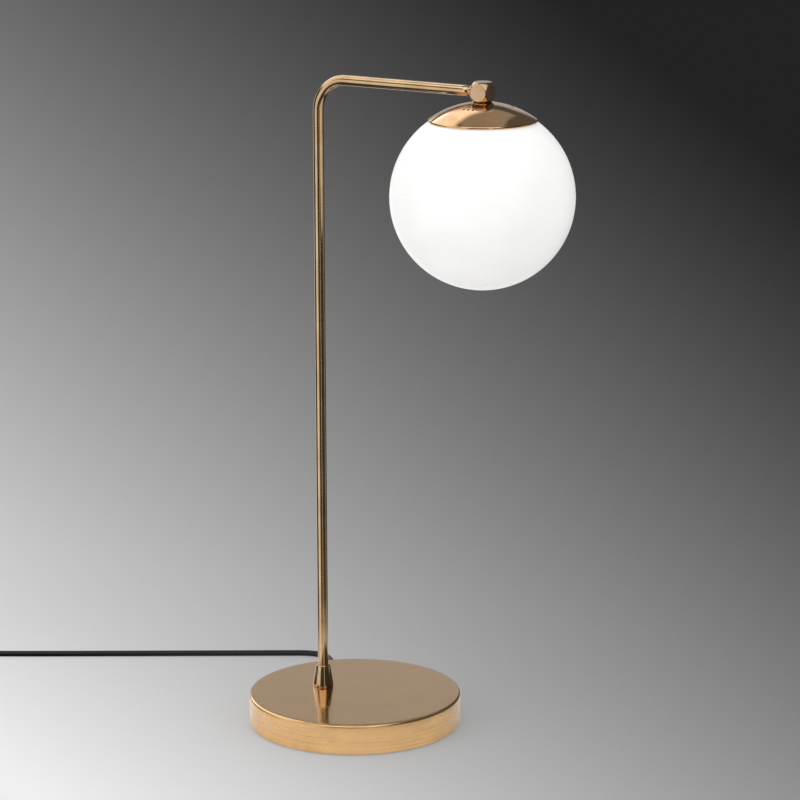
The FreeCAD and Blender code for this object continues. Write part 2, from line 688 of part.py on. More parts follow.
def make_stem():
    """The bent tube with its thin threaded neck at the arm's end, and what holds its foot."""
    tube = body("stem_tube")
    spine = sketch_on(tube, "XZ_Plane")
    upright = Part.LineSegment(Vector(0, DRIVING["tube_foot"], 0),
                               Vector(0, DRIVING["arm_height"] - DRIVING["bend_radius"], 0))
    bend_middle = Vector(DRIVING["bend_radius"], DRIVING["arm_height"] - DRIVING["bend_radius"], 0)
    bend = Part.ArcOfCircle(Part.Circle(bend_middle, Vector(0, 0, 1), DRIVING["bend_radius"]),
                            math.pi / 2, math.pi)
    arm_end = DRIVING["arm_reach"] - DRIVING["tube_end_gap"]
    level = Part.LineSegment(Vector(DRIVING["bend_radius"], DRIVING["arm_height"], 0),
                             Vector(arm_end, DRIVING["arm_height"], 0))
    edges = [spine.addGeometry(edge) for edge in (upright, bend, level)]
    spine.addConstraint(Sketcher.Constraint("Tangent", edges[0], 2, edges[1], 2))
    spine.addConstraint(Sketcher.Constraint("Tangent", edges[1], 1, edges[2], 1))
    pinned(spine, edges[0], 1, 0, D.tube_foot)
    pinned(spine, edges[2], 2, D.arm_reach - D.tube_end_gap, D.arm_height)
    spine.addConstraint(Sketcher.Constraint("Vertical", edges[0]))
    bound(spine, "Radius", edges[1], size=D.bend_radius)
    section = ring_marks(sketch_on(tube, "XY_Plane", lift=D.tube_foot), (0, 0, D.tube_radius),
                         (0, 0, D.tube_bore))
    sweep = tube.newObject("PartDesign::AdditivePipe", "stem_sweep")
    sweep.Profile = section
    sweep.Spine = spine
    neck = ring_marks(sketch_on(tube, "YZ_Plane", lift=D.arm_reach - D.tube_end_gap),
                      (0, D.arm_height, D.neck_radius), (0, D.arm_height, D.tube_bore))
    pad(tube, neck, D.tube_end_gap - D.neck_end_gap)
    kept(stand(tube, x=-D.stem_offset), "stem_tube")

    bore, top = D.tube_radius + 0.1, D.base_height + D.collar_height
    turned("stem_collar", [
        (bore, D.base_height), (D.collar_foot_radius - 0.3, D.base_height),
        (D.collar_foot_radius, D.base_height + 0.5), (D.collar_foot_radius, D.base_height + D.collar_band),
        (D.collar_top_radius, top - 0.5), (D.collar_top_radius - 0.5, top),
        (bore + 0.5, top), (bore, top - 1.2)], x=-D.stem_offset)
    floor = D.base_height - D.cover_wall - D.ballast_thickness
    turned("stem_washer", [(bore, floor - D.washer_thickness), (D.washer_radius, floor - D.washer_thickness),
                           (D.washer_radius, floor), (bore, floor)], x=-D.stem_offset)
    hex_nut("stem_nut", D.stem_nut_thickness, bore - 0.05, x=-D.stem_offset,
            z=floor - D.washer_thickness - D.stem_nut_thickness)


def hex_nut(label, thickness, bore, **place):
    """A six-sided nut; its corners are the flats' half width over the cosine of 30 degrees."""
    block = solid("Prism", label + "_block", Circumradius=D.nut_flats / 2 / cosine(sized(30)),
                  Height=thickness)
    block.Polygon = 6
    nut = less(block, rod(label + "_bore", bore, sized(thickness) + 2, z=-1))
    return kept(stand(nut, **place), label)


def make_elbow():
    """A ball with six flats, bored from the arm's side and from below, and its lock ring."""
    ball = solid("Sphere", "elbow_sphere", Radius=D.ball_radius)
    flats = centred_box("elbow_flats", D.ball_half * 2, D.ball_half * 2, D.ball_half * 2,
                        z=-D.ball_half)
    cube = doc.addObject("Part::Common", "elbow_common")
    cube.Base, cube.Tool = ball, flats
    arm_bore = rod("elbow_arm_bore", D.neck_radius + D.thin_gap, D.tube_end_gap - D.neck_end_gap + 0.1,
                   rotation=TO_X, x=-D.tube_end_gap)
    wire_bore = rod("elbow_wire_bore", 3.3, D.neck_end_gap + 2.5, rotation=TO_X, x=-D.neck_end_gap - 0.5)
    nipple_depth = D.nipple_top - D.arm_height
    nipple_bore = rod("elbow_nipple_bore", D.nipple_radius + D.thin_gap, 20, z=nipple_depth - 20)
    room = rod("elbow_room", 3.3, 8, z=-4.5)
    elbow = less(cube, arm_bore, wire_bore, nipple_bore, room)
    kept(stand(elbow, x=GLOBE_X, z=D.arm_height), "elbow_ball")
    start = -D.ball_half - D.lock_ring_width
    ring = turned("arm_lock_ring", [
        (D.neck_radius + D.thin_gap, start), (D.lock_ring_radius - 0.4, start),
        (D.lock_ring_radius, start + 0.4), (D.lock_ring_radius, -D.ball_half - 0.4),
        (D.lock_ring_radius - 0.4, -D.ball_half), (D.neck_radius + D.thin_gap, -D.ball_half)])
    stand(ring, x=GLOBE_X, z=D.arm_height, rotation=TO_X)
    turned("elbow_nipple", [(D.nipple_bore, D.nipple_foot), (D.nipple_radius, D.nipple_foot),
                            (D.nipple_radius, D.nipple_top), (D.nipple_bore, D.nipple_top)],
           x=GLOBE_X)


# ---------------------------------------------------------------- dome cap, spring clip, globe

SEAT_BORE = D.nipple_radius + D.thin_gap


def make_dome_cap():
    """Spun dome: a flat seat, a round crown, a rolled rim; three groups of vent holes."""
    middle = D.seat_height - root(D.dome_radius * D.dome_radius - D.seat_radius * D.seat_radius)
    inner = D.dome_radius - D.dome_wall
    edge = D.rim_radius - D.rim_shoulder
    crown_end = middle + root(D.dome_radius * D.dome_radius - edge * edge)
    wall_in = D.rim_radius - D.dome_wall
    inner_edge = wall_in - 0.7
    dome = body("dome_cap")
    turn_about_axis(dome, outline(sketch_on(dome, "XZ_Plane"), [
        (SEAT_BORE, D.seat_height), (SEAT_BORE, D.seat_height - D.dome_wall),
        (D.seat_radius, D.seat_height - D.dome_wall, -inner),
        (inner_edge, middle + root(inner * inner - inner_edge * inner_edge)),
        (wall_in, D.rim_shoulder_height - 0.3), (wall_in, D.rim_foot + 0.6),
        (D.rim_radius, D.rim_foot), (D.rim_radius, D.rim_shoulder_height, D.rim_shoulder + 0.3),
        (edge, crown_end, D.dome_radius), (D.seat_radius, D.seat_height)]))
    doc.recompute()
    holes = []
    for group in range(3):
        for step in (-1, 0, 1):
            angle = DRIVING["vent_first"] + 10 + 120 * group + step * DRIVING["vent_step"]
            holes.append((D.vent_circle * math.cos(math.radians(angle)),
                          D.vent_circle * math.sin(math.radians(angle)), D.vent_radius))
    vents = ring_marks(sketch_on(dome, "XY_Plane", lift=D.rim_foot), *holes)
    pocket(dome, vents, towards_normal=True)
    kept(stand(dome, x=GLOBE_X), "dome_cap")


def make_clamping():
    """Washer, three-armed spring clip and nut under the dome's seat."""
    under = D.seat_height - D.dome_wall
    washer_foot = under - D.cap_washer_thickness
    turned("cap_washer", [(SEAT_BORE, washer_foot), (D.cap_washer_radius, washer_foot),
                          (D.cap_washer_radius, under), (SEAT_BORE, under)], x=GLOBE_X)
    clip_foot = washer_foot - D.clip_thickness
    clip = body("globe_clip")
    hub = ring_marks(sketch_on(clip, "XY_Plane", lift=clip_foot), (0, 0, D.clip_hub_radius),
                     (0, 0, SEAT_BORE))
    pad(clip, hub, D.clip_thickness)
    # the arm's middle line: out under the dome, down through the mouth, out under the glass
    line = [(10.6, 540.9), (30, 535.0), (35.0, 532.0), (37.6, 528.5), (39.0, 526.0),
            (40.9, 523.4), (40.4, 521.0), (36.5, 516.5)]
    arm = outline(sketch_on(clip, "XZ_Plane"), strip(line, DRIVING["clip_thickness"]))
    arm_pad = pad(clip, arm, D.clip_width, middle=True)
    doc.recompute()
    pattern = clip.newObject("PartDesign::PolarPattern", "clip_arms")
    pattern.Originals = [arm_pad]
    axis = next(f for f in clip.Origin.OriginFeatures if f.Role == "Z_Axis")
    pattern.Axis = (axis, [""])
    pattern.Angle = 360
    pattern.Occurrences = 3
    clip.Tip = pattern
    kept(stand(clip, x=GLOBE_X, rotation=Rotation(Vector(0, 0, 1), 30)), "globe_spring_clip")
    hex_nut("cap_nut", D.cap_nut_thickness, SEAT_BORE, x=GLOBE_X, z=clip_foot - D.cap_nut_thickness)


def strip(line, thickness):
    """The outline of a sheet strip of this thickness about its middle line."""
    points = [Vector(x, y, 0) for x, y in line]
    sides = []
    for index, point in enumerate(points):
        before = points[max(index - 1, 0)]
        after = points[min(index + 1, len(points) - 1)]
        ahead = (after - before).normalize()
        sides.append(Vector(-ahead.y, ahead.x, 0) * (thickness / 2))
    upper = [(p + side) for p, side in zip(points, sides)]
    lower = [(p - side) for p, side in zip(points, sides)]
    return [(p.x, p.y) for p in upper + lower[::-1]]


def make_globe():
    """Blown opal sphere, cut off at its mouth."""
    inner = D.globe_radius - D.glass_wall
    mouth = D.mouth_radius
    turned("globe_glass", [
        (0, D.globe_height - D.globe_radius, D.globe_radius),
        (mouth, D.globe_height + root(D.globe_radius * D.globe_radius - mouth * mouth)),
        (mouth, D.globe_height + root(inner * inner - mouth * mouth), -inner),
        (0, D.globe_height - inner)], x=GLOBE_X)


# ---------------------------------------------------------------- lampholder and bulb


def make_lampholder():
    neck, outer = D.holder_neck_radius, D.holder_radius
    inner = outer - D.holder_wall
    split = D.holder_split
    turned("holder_cap", [
        (SEAT_BORE, D.holder_top), (SEAT_BORE, D.nipple_foot + 1), (inner - 1.5, D.nipple_foot - 4),
        (inner - 1.5, split), (outer, split), (outer, D.nipple_foot - 3),
        (neck + 3, D.nipple_foot + 3), (neck, D.nipple_foot + 4), (neck, D.holder_top)], x=GLOBE_X)
    barrel = [(inner, split), (inner, D.sleeve_foot), (D.sleeve_radius + 0.3, D.sleeve_foot),
              (D.sleeve_radius + 0.3, D.holder_foot), (outer - 1, D.holder_foot),
              (outer - 0.5, D.holder_foot + 1)]
    ribs = 6
    height = (D.holder_split - 2) - (D.holder_foot + 8)
    for rib in range(ribs):
        base = D.holder_foot + 8 + height * (rib / ribs)
        barrel += [(outer - 0.5, base), (outer, base + 0.6), (outer, base + height * (0.6 / ribs)),
                   (outer - 0.5, base + height * (0.6 / ribs) + 0.6)]
    barrel += [(outer - 0.5, split - 1), (outer - 0.5, split)]
    turned("holder_barrel", barrel, x=GLOBE_X)
    insert = body("holder_insert")
    inner_room = D.sleeve_radius + 0.1
    turn_about_axis(insert, outline(sketch_on(insert, "XZ_Plane"), [
        (0, D.sleeve_top + 2.2), (inner_room, D.sleeve_top + 2.2), (inner_room, D.sleeve_foot + 4),
        (D.insert_radius, D.sleeve_foot + 4), (D.insert_radius, D.insert_top), (0, D.insert_top)]))
    kept(stand(insert, x=GLOBE_X), "holder_insert")
    turned("holder_sleeve", threaded_profile(D.sleeve_radius, D.sleeve_wall, D.sleeve_foot + 0.5,
                                             D.sleeve_top, 4), x=GLOBE_X)
    turned("holder_contact", [
        (0, D.bulb_tip + 0.1), (3.4, D.bulb_tip + 0.1), (5.5, D.sleeve_top + 1.4),
        (6.5, D.sleeve_top + 1.4), (6.5, D.sleeve_top + 2.1), (0, D.sleeve_top + 2.1)], x=GLOBE_X)


def threaded_profile(radius, wall, foot, top, turns):
    """A pressed round thread drawn as rings: the wall waves in and out at a steady pitch."""
    depth, outer, inner = 0.5, [], []
    steps = 2 * turns
    for step in range(steps + 1):
        height = foot + (top - foot) * (step / steps)
        swing = depth if step % 2 else 0
        outer.append((radius - swing, height))
        inner.append((radius - wall - swing, height))
    return inner[::-1] + outer


def make_bulb():
    """Round bulb: glass ball and neck, plastic collar, pressed screw cap, insulated tip."""
    ball, wall = D.bulb_radius, D.bulb_wall
    neck = D.bulb_cap_radius + 0.4
    join = D.bulb_height + 15
    ring = root(ball * ball - 225)
    inner = ball - wall
    turned("bulb_glass", [
        (0, D.bulb_height - ball, ball), (ring, join), (ring - wall, join),
        (root(inner * inner - 225) - 0.2, join, -inner), (0, D.bulb_height - inner)], x=GLOBE_X)
    turned("bulb_collar", [
        (0, join), (ring, join), (neck + 1.5, D.bulb_cap_foot - 4), (neck, D.bulb_cap_foot),
        (0, D.bulb_cap_foot)], x=GLOBE_X)
    cap = [(0, D.bulb_cap_foot), (D.bulb_cap_radius, D.bulb_cap_foot)]
    threads = 5
    for step in range(1, 2 * threads):
        height = D.bulb_cap_foot + (D.bulb_cap_top - D.bulb_cap_foot) * (step / (2 * threads))
        cap.append((D.bulb_cap_radius - (0.6 if step % 2 else 0), height))
    cap += [(D.bulb_cap_radius - 0.8, D.bulb_cap_top), (0, D.bulb_cap_top)]
    turned("bulb_screw_cap", cap, x=GLOBE_X)
    turned("bulb_insulator", [(0, D.bulb_cap_top), (D.bulb_cap_radius - 1.4, D.bulb_cap_top),
                              (5, D.bulb_tip - 1), (0, D.bulb_tip - 1)], x=GLOBE_X)
    turned("bulb_tip_contact", [(0, D.bulb_tip - 1), (4.6, D.bulb_tip - 1), (3.6, D.bulb_tip),
                                (0, D.bulb_tip)], x=GLOBE_X)


# ---------------------------------------------------------------- free cord, switch and plug


def make_free_cord():
    radius = DRIVING["cord_radius"]
    shape_piece("mains_cord_to_switch", routed("mains_cord_to_switch", ROUTE_TO_SWITCH, radius))
    shape_piece("mains_cord_to_coil", routed("mains_cord_to_coil", ROUTE_TO_COIL, radius))
    shape_piece("mains_cord_to_plug", routed("mains_cord_to_plug", ROUTE_TO_PLUG, radius))
    path = coil_path()
    print_least_gap(path, radius)
    shape_piece("mains_cord_coil", tube_along("mains_cord_coil", path, radius))

    # a flat band once round the coil's turns, on the side away from the switch
    thick, wide = DRIVING["tie_thickness"], DRIVING["tie_width"]
    outer, spread = DRIVING["coil_outer_radius"], DRIVING["coil_pitch"] * COIL_TURNS / 2
    low = DRIVING["coil_height"] - radius
    high = DRIVING["coil_height"] + DRIVING["coil_layer"] + radius
    margin = 0.6
    hole = Part.makeBox(spread + 2 * radius + 2 * margin, wide, high - low + 0.4,
                        Vector(outer - spread - radius - margin, -wide / 2, low - 0.05))
    band = Part.makeBox(spread + 2 * radius + 2 * (margin + thick), wide, high - low + 0.4 + 2 * thick - 0.1,
                        Vector(outer - spread - radius - margin - thick, -wide / 2, low - thick))
    band = band.makeFillet(1, [e for e in band.Edges if abs(e.tangentAt(0).y) > 0.9])
    place = Placement(Vector(*COIL_MIDDLE, 0), Rotation(Vector(0, 0, 1), CORD_HEADING))
    shape_piece("cord_tie", band.cut(hole), place)


def rounded_rectangle(sketch, length, width, corner):
    x, y, r = sized(length) / 2, sized(width) / 2, sized(corner)
    return outline(sketch, [
        (x, r - y), (x, y - r, r), (x - r, y), (r - x, y, r), (-x, y - r), (-x, r - y, r),
        (r - x, -y), (x - r, -y, r)])


def make_switch():
    """Inline switch: two shells that close round the cord, and a rocker on a pivot pin."""
    place = dict(x=SWITCH_MIDDLE[0], y=SWITCH_MIDDLE[1], rotation=ALONG_CORD)
    inner_length, inner_width = D.switch_length - D.switch_wall * 2, D.switch_width - D.switch_wall * 2
    cord_hole = (0, D.switch_cord_height, D.cord_radius + 0.15)

    lower = body("switch_lower_shell")
    block = pad(lower, rounded_rectangle(sketch_on(lower, "XY_Plane"), D.switch_length,
                                         D.switch_width, D.switch_corner), D.switch_split)
    soften(lower, block, 1.2, lambda e: e.BoundBox.ZMax < 0.01)
    room = rounded_rectangle(sketch_on(lower, "XY_Plane", lift=D.switch_split), inner_length,
                             inner_width, D.switch_corner - D.switch_wall)
    pocket(lower, room, length=D.switch_split - D.switch_wall)
    pocket(lower, ring_marks(sketch_on(lower, "YZ_Plane"), cord_hole), middle=True)
    wells = ring_marks(sketch_on(lower, "XY_Plane"), (-22, -8.5, 1.5), (22, 8.5, 1.5))
    pocket(lower, wells, towards_normal=True)
    kept(stand(lower, **place), "switch_lower_shell")

    upper = body("switch_upper_shell")
    block = pad(upper, rounded_rectangle(sketch_on(upper, "XY_Plane", lift=D.switch_split),
                                         D.switch_length, D.switch_width, D.switch_corner),
                D.switch_height - D.switch_split)
    soften(upper, block, 2.5, lambda e: e.BoundBox.ZMin > DRIVING["switch_height"] - 0.01)
    room = rounded_rectangle(sketch_on(upper, "XY_Plane", lift=D.switch_split), inner_length,
                             inner_width, D.switch_corner - D.switch_wall)
    pocket(upper, room, length=D.switch_height - D.switch_split - D.switch_wall, towards_normal=True)
    window = rounded_rectangle(sketch_on(upper, "XY_Plane", lift=D.switch_split), D.window_length,
                               D.window_width, 1)
    pocket(upper, window, towards_normal=True)
    pocket(upper, ring_marks(sketch_on(upper, "YZ_Plane"), cord_hole), middle=True)
    for side in (-1, 1):
        near, far = D.window_width / 2 + 0.3, D.window_width / 2 + 2.3
        ear_low, ear_top = D.pivot_height - 2.8, D.switch_height - D.switch_wall
        ear = outline(sketch_on(upper, "YZ_Plane"), [
            (near * side, ear_low), (far * side, ear_low), (far * side, ear_top),
            (near * side, ear_top)])
        pad(upper, ear, 5, middle=True)
    pivot = ring_marks(sketch_on(upper, "XZ_Plane"), (0, D.pivot_height, D.pivot_radius + D.thin_gap))
    pocket(upper, pivot, length=D.window_width + 5.4, middle=True)
    kept(stand(upper, **place), "switch_upper_shell")

    tilt = Rotation(Vector(0, 1, 0), DRIVING["rocker_tilt"])
    rocker = body("switch_rocker")
    profile = outline(sketch_on(rocker, "XZ_Plane"), [
        (-7.4, -1.2), (-3, -3), (3, -3), (7.4, -1.2), (7.6, 5.2), (0, 4.1, -60), (-7.6, 5.2)])
    pad(rocker, profile, D.window_width - 1, middle=True)
    pin = ring_marks(sketch_on(rocker, "XZ_Plane"), (0, 0, D.pivot_radius))
    pad(rocker, pin, D.window_width + 4.4, middle=True)
    stand(rocker, x=SWITCH_MIDDLE[0], y=SWITCH_MIDDLE[1], z=D.pivot_height,
          rotation=ALONG_CORD.multiply(tilt))
    kept(rocker, "switch_rocker")
    pivot_place = Placement(Vector(*SWITCH_MIDDLE, DRIVING["pivot_height"]), ALONG_CORD.multiply(tilt))
    bridge = Part.makeBox(3, 6, 0.5, Vector(-6.2, -3, -4.3))
    stub = Part.makeBox(1, 2, 1.3, Vector(-5.2, -1, -3.9))
    shape_piece("rocker_bridge", bridge.fuse(stub).removeSplitter(), pivot_place)

    # two fixed contacts side by side; the bridge closes them when this end goes down
    floor = DRIVING["switch_wall"]
    switch_place = Placement(Vector(*SWITCH_MIDDLE, 0), ALONG_CORD)
    contacts = []
    for low_y, strip_start, strip_end, tab_x in ((-2.9, -9, -3.6, -9), (0.6, -5.8, 6, 5.2)):
        foot = Part.makeBox(strip_end - strip_start, 2.3, 0.8, Vector(strip_start, low_y, floor))
        post = Part.makeBox(1.6, 2.3, 8.1, Vector(-5.6, low_y, floor))
        tab = Part.makeBox(0.8, 2.3, 3.4, Vector(tab_x, low_y, floor))
        contacts.append(foot.fuse([post, tab]).removeSplitter())
    shape_piece("switch_contacts", Part.makeCompound(contacts), switch_place)
    # one core runs past the contacts, the other is cut and joined to their tabs
    high, end = DRIVING["switch_cord_height"], 19.7
    side, low = 1.2, floor + 1.8
    through = [(-end, side, high), (-end + 4, side, high), (-end + 8, 6.2, high),
               (end - 8, 6.2, high), (end - 4, side, high), (end, side, high)]
    live_in = [(-end, -side, high), (-end + 3, -side, high), (-12, -1.7, low), (-9.05, -1.7, low)]
    live_out = [(end, -side, high), (end - 3, -side, high), (9.5, 1.7, low), (6.05, 1.7, low)]
    radius = DRIVING["core_radius"]
    shape_piece("switch_core_neutral", routed("switch_core_neutral", through, radius), switch_place)
    cut_ends = [routed("switch_cores_live", route, radius) for route in (live_in, live_out)]
    shape_piece("switch_cores_live", Part.makeCompound(cut_ends), switch_place)
    screw = pan_screw(1.4, 1.2, 1.1, 7)
    places = [switch_place.multiply(Placement(Vector(x, y, 1.5), Rotation()))
              for x, y in ((-22, -8.5), (22, 8.5))]
    repeated("switch_screws", screw, places)


def make_plug():
    """Flat two-pin plug lying beside the coil, with a tapered tail for the cord."""
    turn = Rotation(Vector(0, 0, 1), CORD_HEADING - 180)
    back, front, half = D.plug_back, D.plug_front, D.plug_half_width
    plug = body("plug_body")
    face = outline(sketch_on(plug, "XY_Plane"), [
        (front, -half + 2), (front, half - 2, 2), (front - 2, half), (2, half, 14),
        (-8, half - 6), (-back, 5.5), (-back, -5.5), (-8, 6 - half, 14), (2, -half),
        (front - 2, -half, 2)])
    block = pad(plug, face, D.plug_thickness)
    soften(plug, block, 2.5, lambda e: e.BoundBox.ZLength < 0.01
           and (e.BoundBox.XMin < DRIVING["plug_front"] - 0.1))
    roots = [(side * D.pin_spacing / 2, D.plug_thickness / 2, D.pin_root_radius + D.thin_gap)
             for side in (-1, 1)]
    pocket(plug, ring_marks(sketch_on(plug, "YZ_Plane", lift=front - D.pin_root), *roots),
           length=D.pin_root + 2, towards_normal=True)
    kept(stand(plug, x=PLUG_MIDDLE[0], y=PLUG_MIDDLE[1], rotation=turn), "plug_body")
    ribs, corners = 4, []
    thick, thin, groove = 5, 3.4, 0.6
    start, end = DRIVING["plug_back"], DRIVING["plug_tail_end"]
    step = (end - start) / (2 * ribs)
    for rib in range(ribs):
        radius = thick - (thick - thin) * (rib / ribs)
        near = start + step * 2 * rib
        corners += [(radius, near), (radius, near + step), (radius - groove, near + step),
                    (radius - groove, near + 2 * step)]
    tail = turned("plug_tail", [(0, start)] + corners + [(0, end)])
    stand(tail, x=PLUG_MIDDLE[0], y=PLUG_MIDDLE[1], z=D.plug_thickness / 2,
          rotation=turn.multiply(Rotation(Vector(0, 1, 0), -90)))
    radius, length, deep = DRIVING["pin_radius"], DRIVING["pin_length"], DRIVING["pin_root"]
    pin = Part.makeCylinder(radius, length)
    pin = pin.makeFillet(1.2, [e for e in pin.Edges if abs(e.BoundBox.ZMin - length) < 0.01
                               and e.BoundBox.ZLength < 0.01])
    pin = pin.fuse(Part.makeCylinder(DRIVING["pin_root_radius"], deep, Vector(0, 0, -deep)))
    plug_place = Placement(Vector(*PLUG_MIDDLE, DRIVING["plug_thickness"] / 2), turn)
    reach = DRIVING["pin_spacing"] / 2
    places = [plug_place.multiply(Placement(Vector(DRIVING["plug_front"], side * reach, 0), TO_X))
              for side in (-1, 1)]
    repeated("plug_pins", pin, places)


make_base_cover()
make_ballast()
make_underside()
make_gland()
make_cord_inside()
make_terminal_block()
make_lamp_wires()
make_stem()
make_elbow()
make_dome_cap()
make_clamping()
make_globe()
make_lampholder()
make_bulb()
make_free_cord()
make_switch()
make_plug()

doc.recompute()
for item in doc.Objects:
    if "Invalid" in item.State or "Error" in item.State:
        raise RuntimeError(f"{item.Name} failed: {item.State}")
os.makedirs("parts", exist_ok=True)
for piece in pieces:
    shape = piece.Shape
    if shape.isNull() or not shape.isValid():
        raise RuntimeError(f"{piece.Label} has no valid shape")
for piece in pieces:
    piece.Shape.exportStep(f"parts/{piece.Label}.step")
print(len(pieces), "pieces written")
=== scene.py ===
# %% [markdown]
# # A glass globe table lamp, dressed in Blender
#
# The lamp is a round weighted base, one bent tube, a round elbow joint, a domed cap and an
# opal glass globe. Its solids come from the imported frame, with their joints. This lesson
# gives them their finishes, and remakes as smooth surfaces the pieces that the eye rests on.
# Lengths are written in millimetres and turned to metres where a mesh is made.

import json
import math

import bpy
import numpy as np
from mathutils import Matrix, Vector


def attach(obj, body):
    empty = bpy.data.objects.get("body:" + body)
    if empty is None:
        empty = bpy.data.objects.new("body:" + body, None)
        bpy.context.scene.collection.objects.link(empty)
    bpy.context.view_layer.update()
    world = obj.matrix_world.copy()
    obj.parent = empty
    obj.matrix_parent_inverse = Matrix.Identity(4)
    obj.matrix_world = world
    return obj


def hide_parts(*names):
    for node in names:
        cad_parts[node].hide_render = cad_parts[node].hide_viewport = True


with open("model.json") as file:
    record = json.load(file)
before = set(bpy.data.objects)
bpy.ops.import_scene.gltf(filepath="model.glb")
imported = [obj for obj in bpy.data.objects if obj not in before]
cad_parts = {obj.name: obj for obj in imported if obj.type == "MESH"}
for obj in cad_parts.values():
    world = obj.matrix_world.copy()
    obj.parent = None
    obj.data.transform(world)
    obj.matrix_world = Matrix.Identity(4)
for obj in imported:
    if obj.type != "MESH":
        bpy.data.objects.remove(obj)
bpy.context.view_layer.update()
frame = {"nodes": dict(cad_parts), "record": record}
nodes = frame["nodes"]
MM = 0.001

# %% [markdown]
# ## The camera
# The photograph was taken from about 2.7 m away with a long lens, a little above the lamp,
# looking down at it. The camera could be nudged by hand until the outlines meet. Here it is
# placed by its measured distance, height and tilt, in a frame whose heading is turned 32
# degrees against the lamp's arm, so each number means something that can be checked.

# %% Camera
CAMERA_DISTANCE, CAMERA_HEIGHT = 2.691, 0.939
CAMERA_TURN, CAMERA_YAW, CAMERA_PITCH, CAMERA_ROLL = (
    math.radians(a) for a in (32.0, 0.836, 13.712, -0.168))
FOCAL_PX, PICTURE_PX, SENSOR_MM = 3311, 800, 36

turned = Matrix.Rotation(CAMERA_TURN, 3, "Z")
eye = turned @ Vector((0, -CAMERA_DISTANCE, CAMERA_HEIGHT))
ahead = turned @ Vector((math.sin(CAMERA_YAW) * math.cos(CAMERA_PITCH),
                         math.cos(CAMERA_YAW) * math.cos(CAMERA_PITCH),
                         -math.sin(CAMERA_PITCH)))
level_right = turned @ Vector((math.cos(CAMERA_YAW), -math.sin(CAMERA_YAW), 0))
level_up = level_right.cross(ahead)
right = level_right * math.cos(CAMERA_ROLL) + level_up * math.sin(CAMERA_ROLL)
up = right.cross(ahead)

camera = bpy.data.objects.new("camera", bpy.data.cameras.new("camera"))
bpy.context.scene.collection.objects.link(camera)
camera.matrix_world = Matrix.Translation(eye) @ Matrix((right, up, -ahead)).transposed().to_4x4()
camera.data.sensor_width = SENSOR_MM
camera.data.lens = FOCAL_PX / PICTURE_PX * SENSOR_MM
bpy.context.scene.camera = camera
bpy.context.scene.view_settings.view_transform = "Standard"
print("camera at", [round(c, 3) for c in eye], "lens", round(camera.data.lens, 1), "mm")

# %% [markdown]
# ## The mains cord
# A table lamp has about 1.8 m of round black cord. The photograph shows its first part, lying
# straight behind the lamp; the rest is put away outside the view, through an inline switch
# and round a neat coil to the plug. Straight runs and arcs joined together would look like
# bent wire. One smooth NURBS line led by a few given points bends like a real cord, and
# a bevel gives it its thickness.

# %% Cord route
CORD_MM = 5.2
TO_SWITCH = [(-70.7, 84.3, 6.5), (-84.2, 100.4, 4.3), (-116.0, 138.3, 2.65),
             (-158.0, 112.9, 2.65), (-375.2, -18.7, 2.65), (-390.6, -28.0, 3.6),
             (-402.5, -35.2, 6.2), (-412.8, -41.5, 8.0), (-423.9, -48.2, 8.0)]
THROUGH_SWITCH = [(-431.3, -59.2, 5.0), (-450.1, -70.6, 5.0)]
TO_COIL = [(-463.3, -72.0, 8.0), (-474.4, -78.8, 8.0), (-488.9, -87.6, 6.2),
           (-504.3, -96.9, 3.9), (-516.3, -104.1, 3.45), (-523.8, -108.7, 3.45)]
TO_PLUG = [(-564.2, -41.9, 9.25), (-553.3, -35.3, 9.25), (-540.4, -25.7, 7.2),
           (-528.0, -17.2, 6.85), (-517.0, -10.4, 6.85)]
COIL_MIDDLE, COIL_RADIUS, COIL_TURNS, COIL_PITCH = (-548.5, -78.0), 39.0, 6.5, 5.7
COIL_START, COIL_LOW, COIL_LAYER, POINTS_A_TURN = -58.8, 3.45, 5.8, 24

# The coil winds inward for half its turns, climbs one layer and winds outward above them:
# radius(turn) = outer radius - pitch * (half the turns - |turn - half the turns|).
turn = np.arange(0, COIL_TURNS + 1e-6, 1 / POINTS_A_TURN)
middle = COIL_TURNS / 2
radius = COIL_RADIUS - COIL_PITCH * (middle - np.abs(turn - middle))
climb = np.clip((turn - middle) * 2 + 0.5, 0, 1)
angle = np.radians(COIL_START) - 2 * math.pi * turn
coil = np.stack([COIL_MIDDLE[0] + radius * np.cos(angle), COIL_MIDDLE[1] + radius * np.sin(angle),
                 COIL_LOW + COIL_LAYER * climb ** 2 * (3 - 2 * climb)], axis=1)
route = np.concatenate([TO_SWITCH, THROUGH_SWITCH, TO_COIL, coil, TO_PLUG]) * MM
print("cord points:", len(route))

# %% Cord on its route
line = bpy.data.curves.new("mains_cord", "CURVE")
line.dimensions = "3D"
spline = line.splines.new("NURBS")
spline.points.add(len(route) - 1)
spline.points.foreach_set("co", np.column_stack([route, np.ones(len(route))]).ravel())
spline.order_u = 3
spline.use_endpoint_u = True
line.resolution_u = 6
# The tube's radius is the bevel depth times each point's radius. Blender adds the point's
# radius to a curve's box, so that is the real one.
spline.points.foreach_set("radius", np.full(len(route), CORD_MM / 2 * MM))
line.bevel_depth = 1.0
line.bevel_resolution = 6
line.use_fill_caps = True
cord = bpy.data.objects.new("mains_cord", line)
bpy.context.scene.collection.objects.link(cord)
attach(cord, "lamp")
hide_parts("mains_cord_to_switch", "mains_cord_to_coil", "mains_cord_coil",
            "mains_cord_to_plug", "switch_core_neutral")
print("cord:", CORD_MM, "mm thick")

# %% [markdown]
# ## Making surfaces
# Nearly every piece of a lamp is turned on a lathe, so most shapes here are a profile carried
# round an axis. Blender's Screw modifier could turn a profile too. Worked out as whole arrays,
# the points make closed meshes at once, with real walls, clean poles and faces that look
# outward, so a small set of helpers does that.


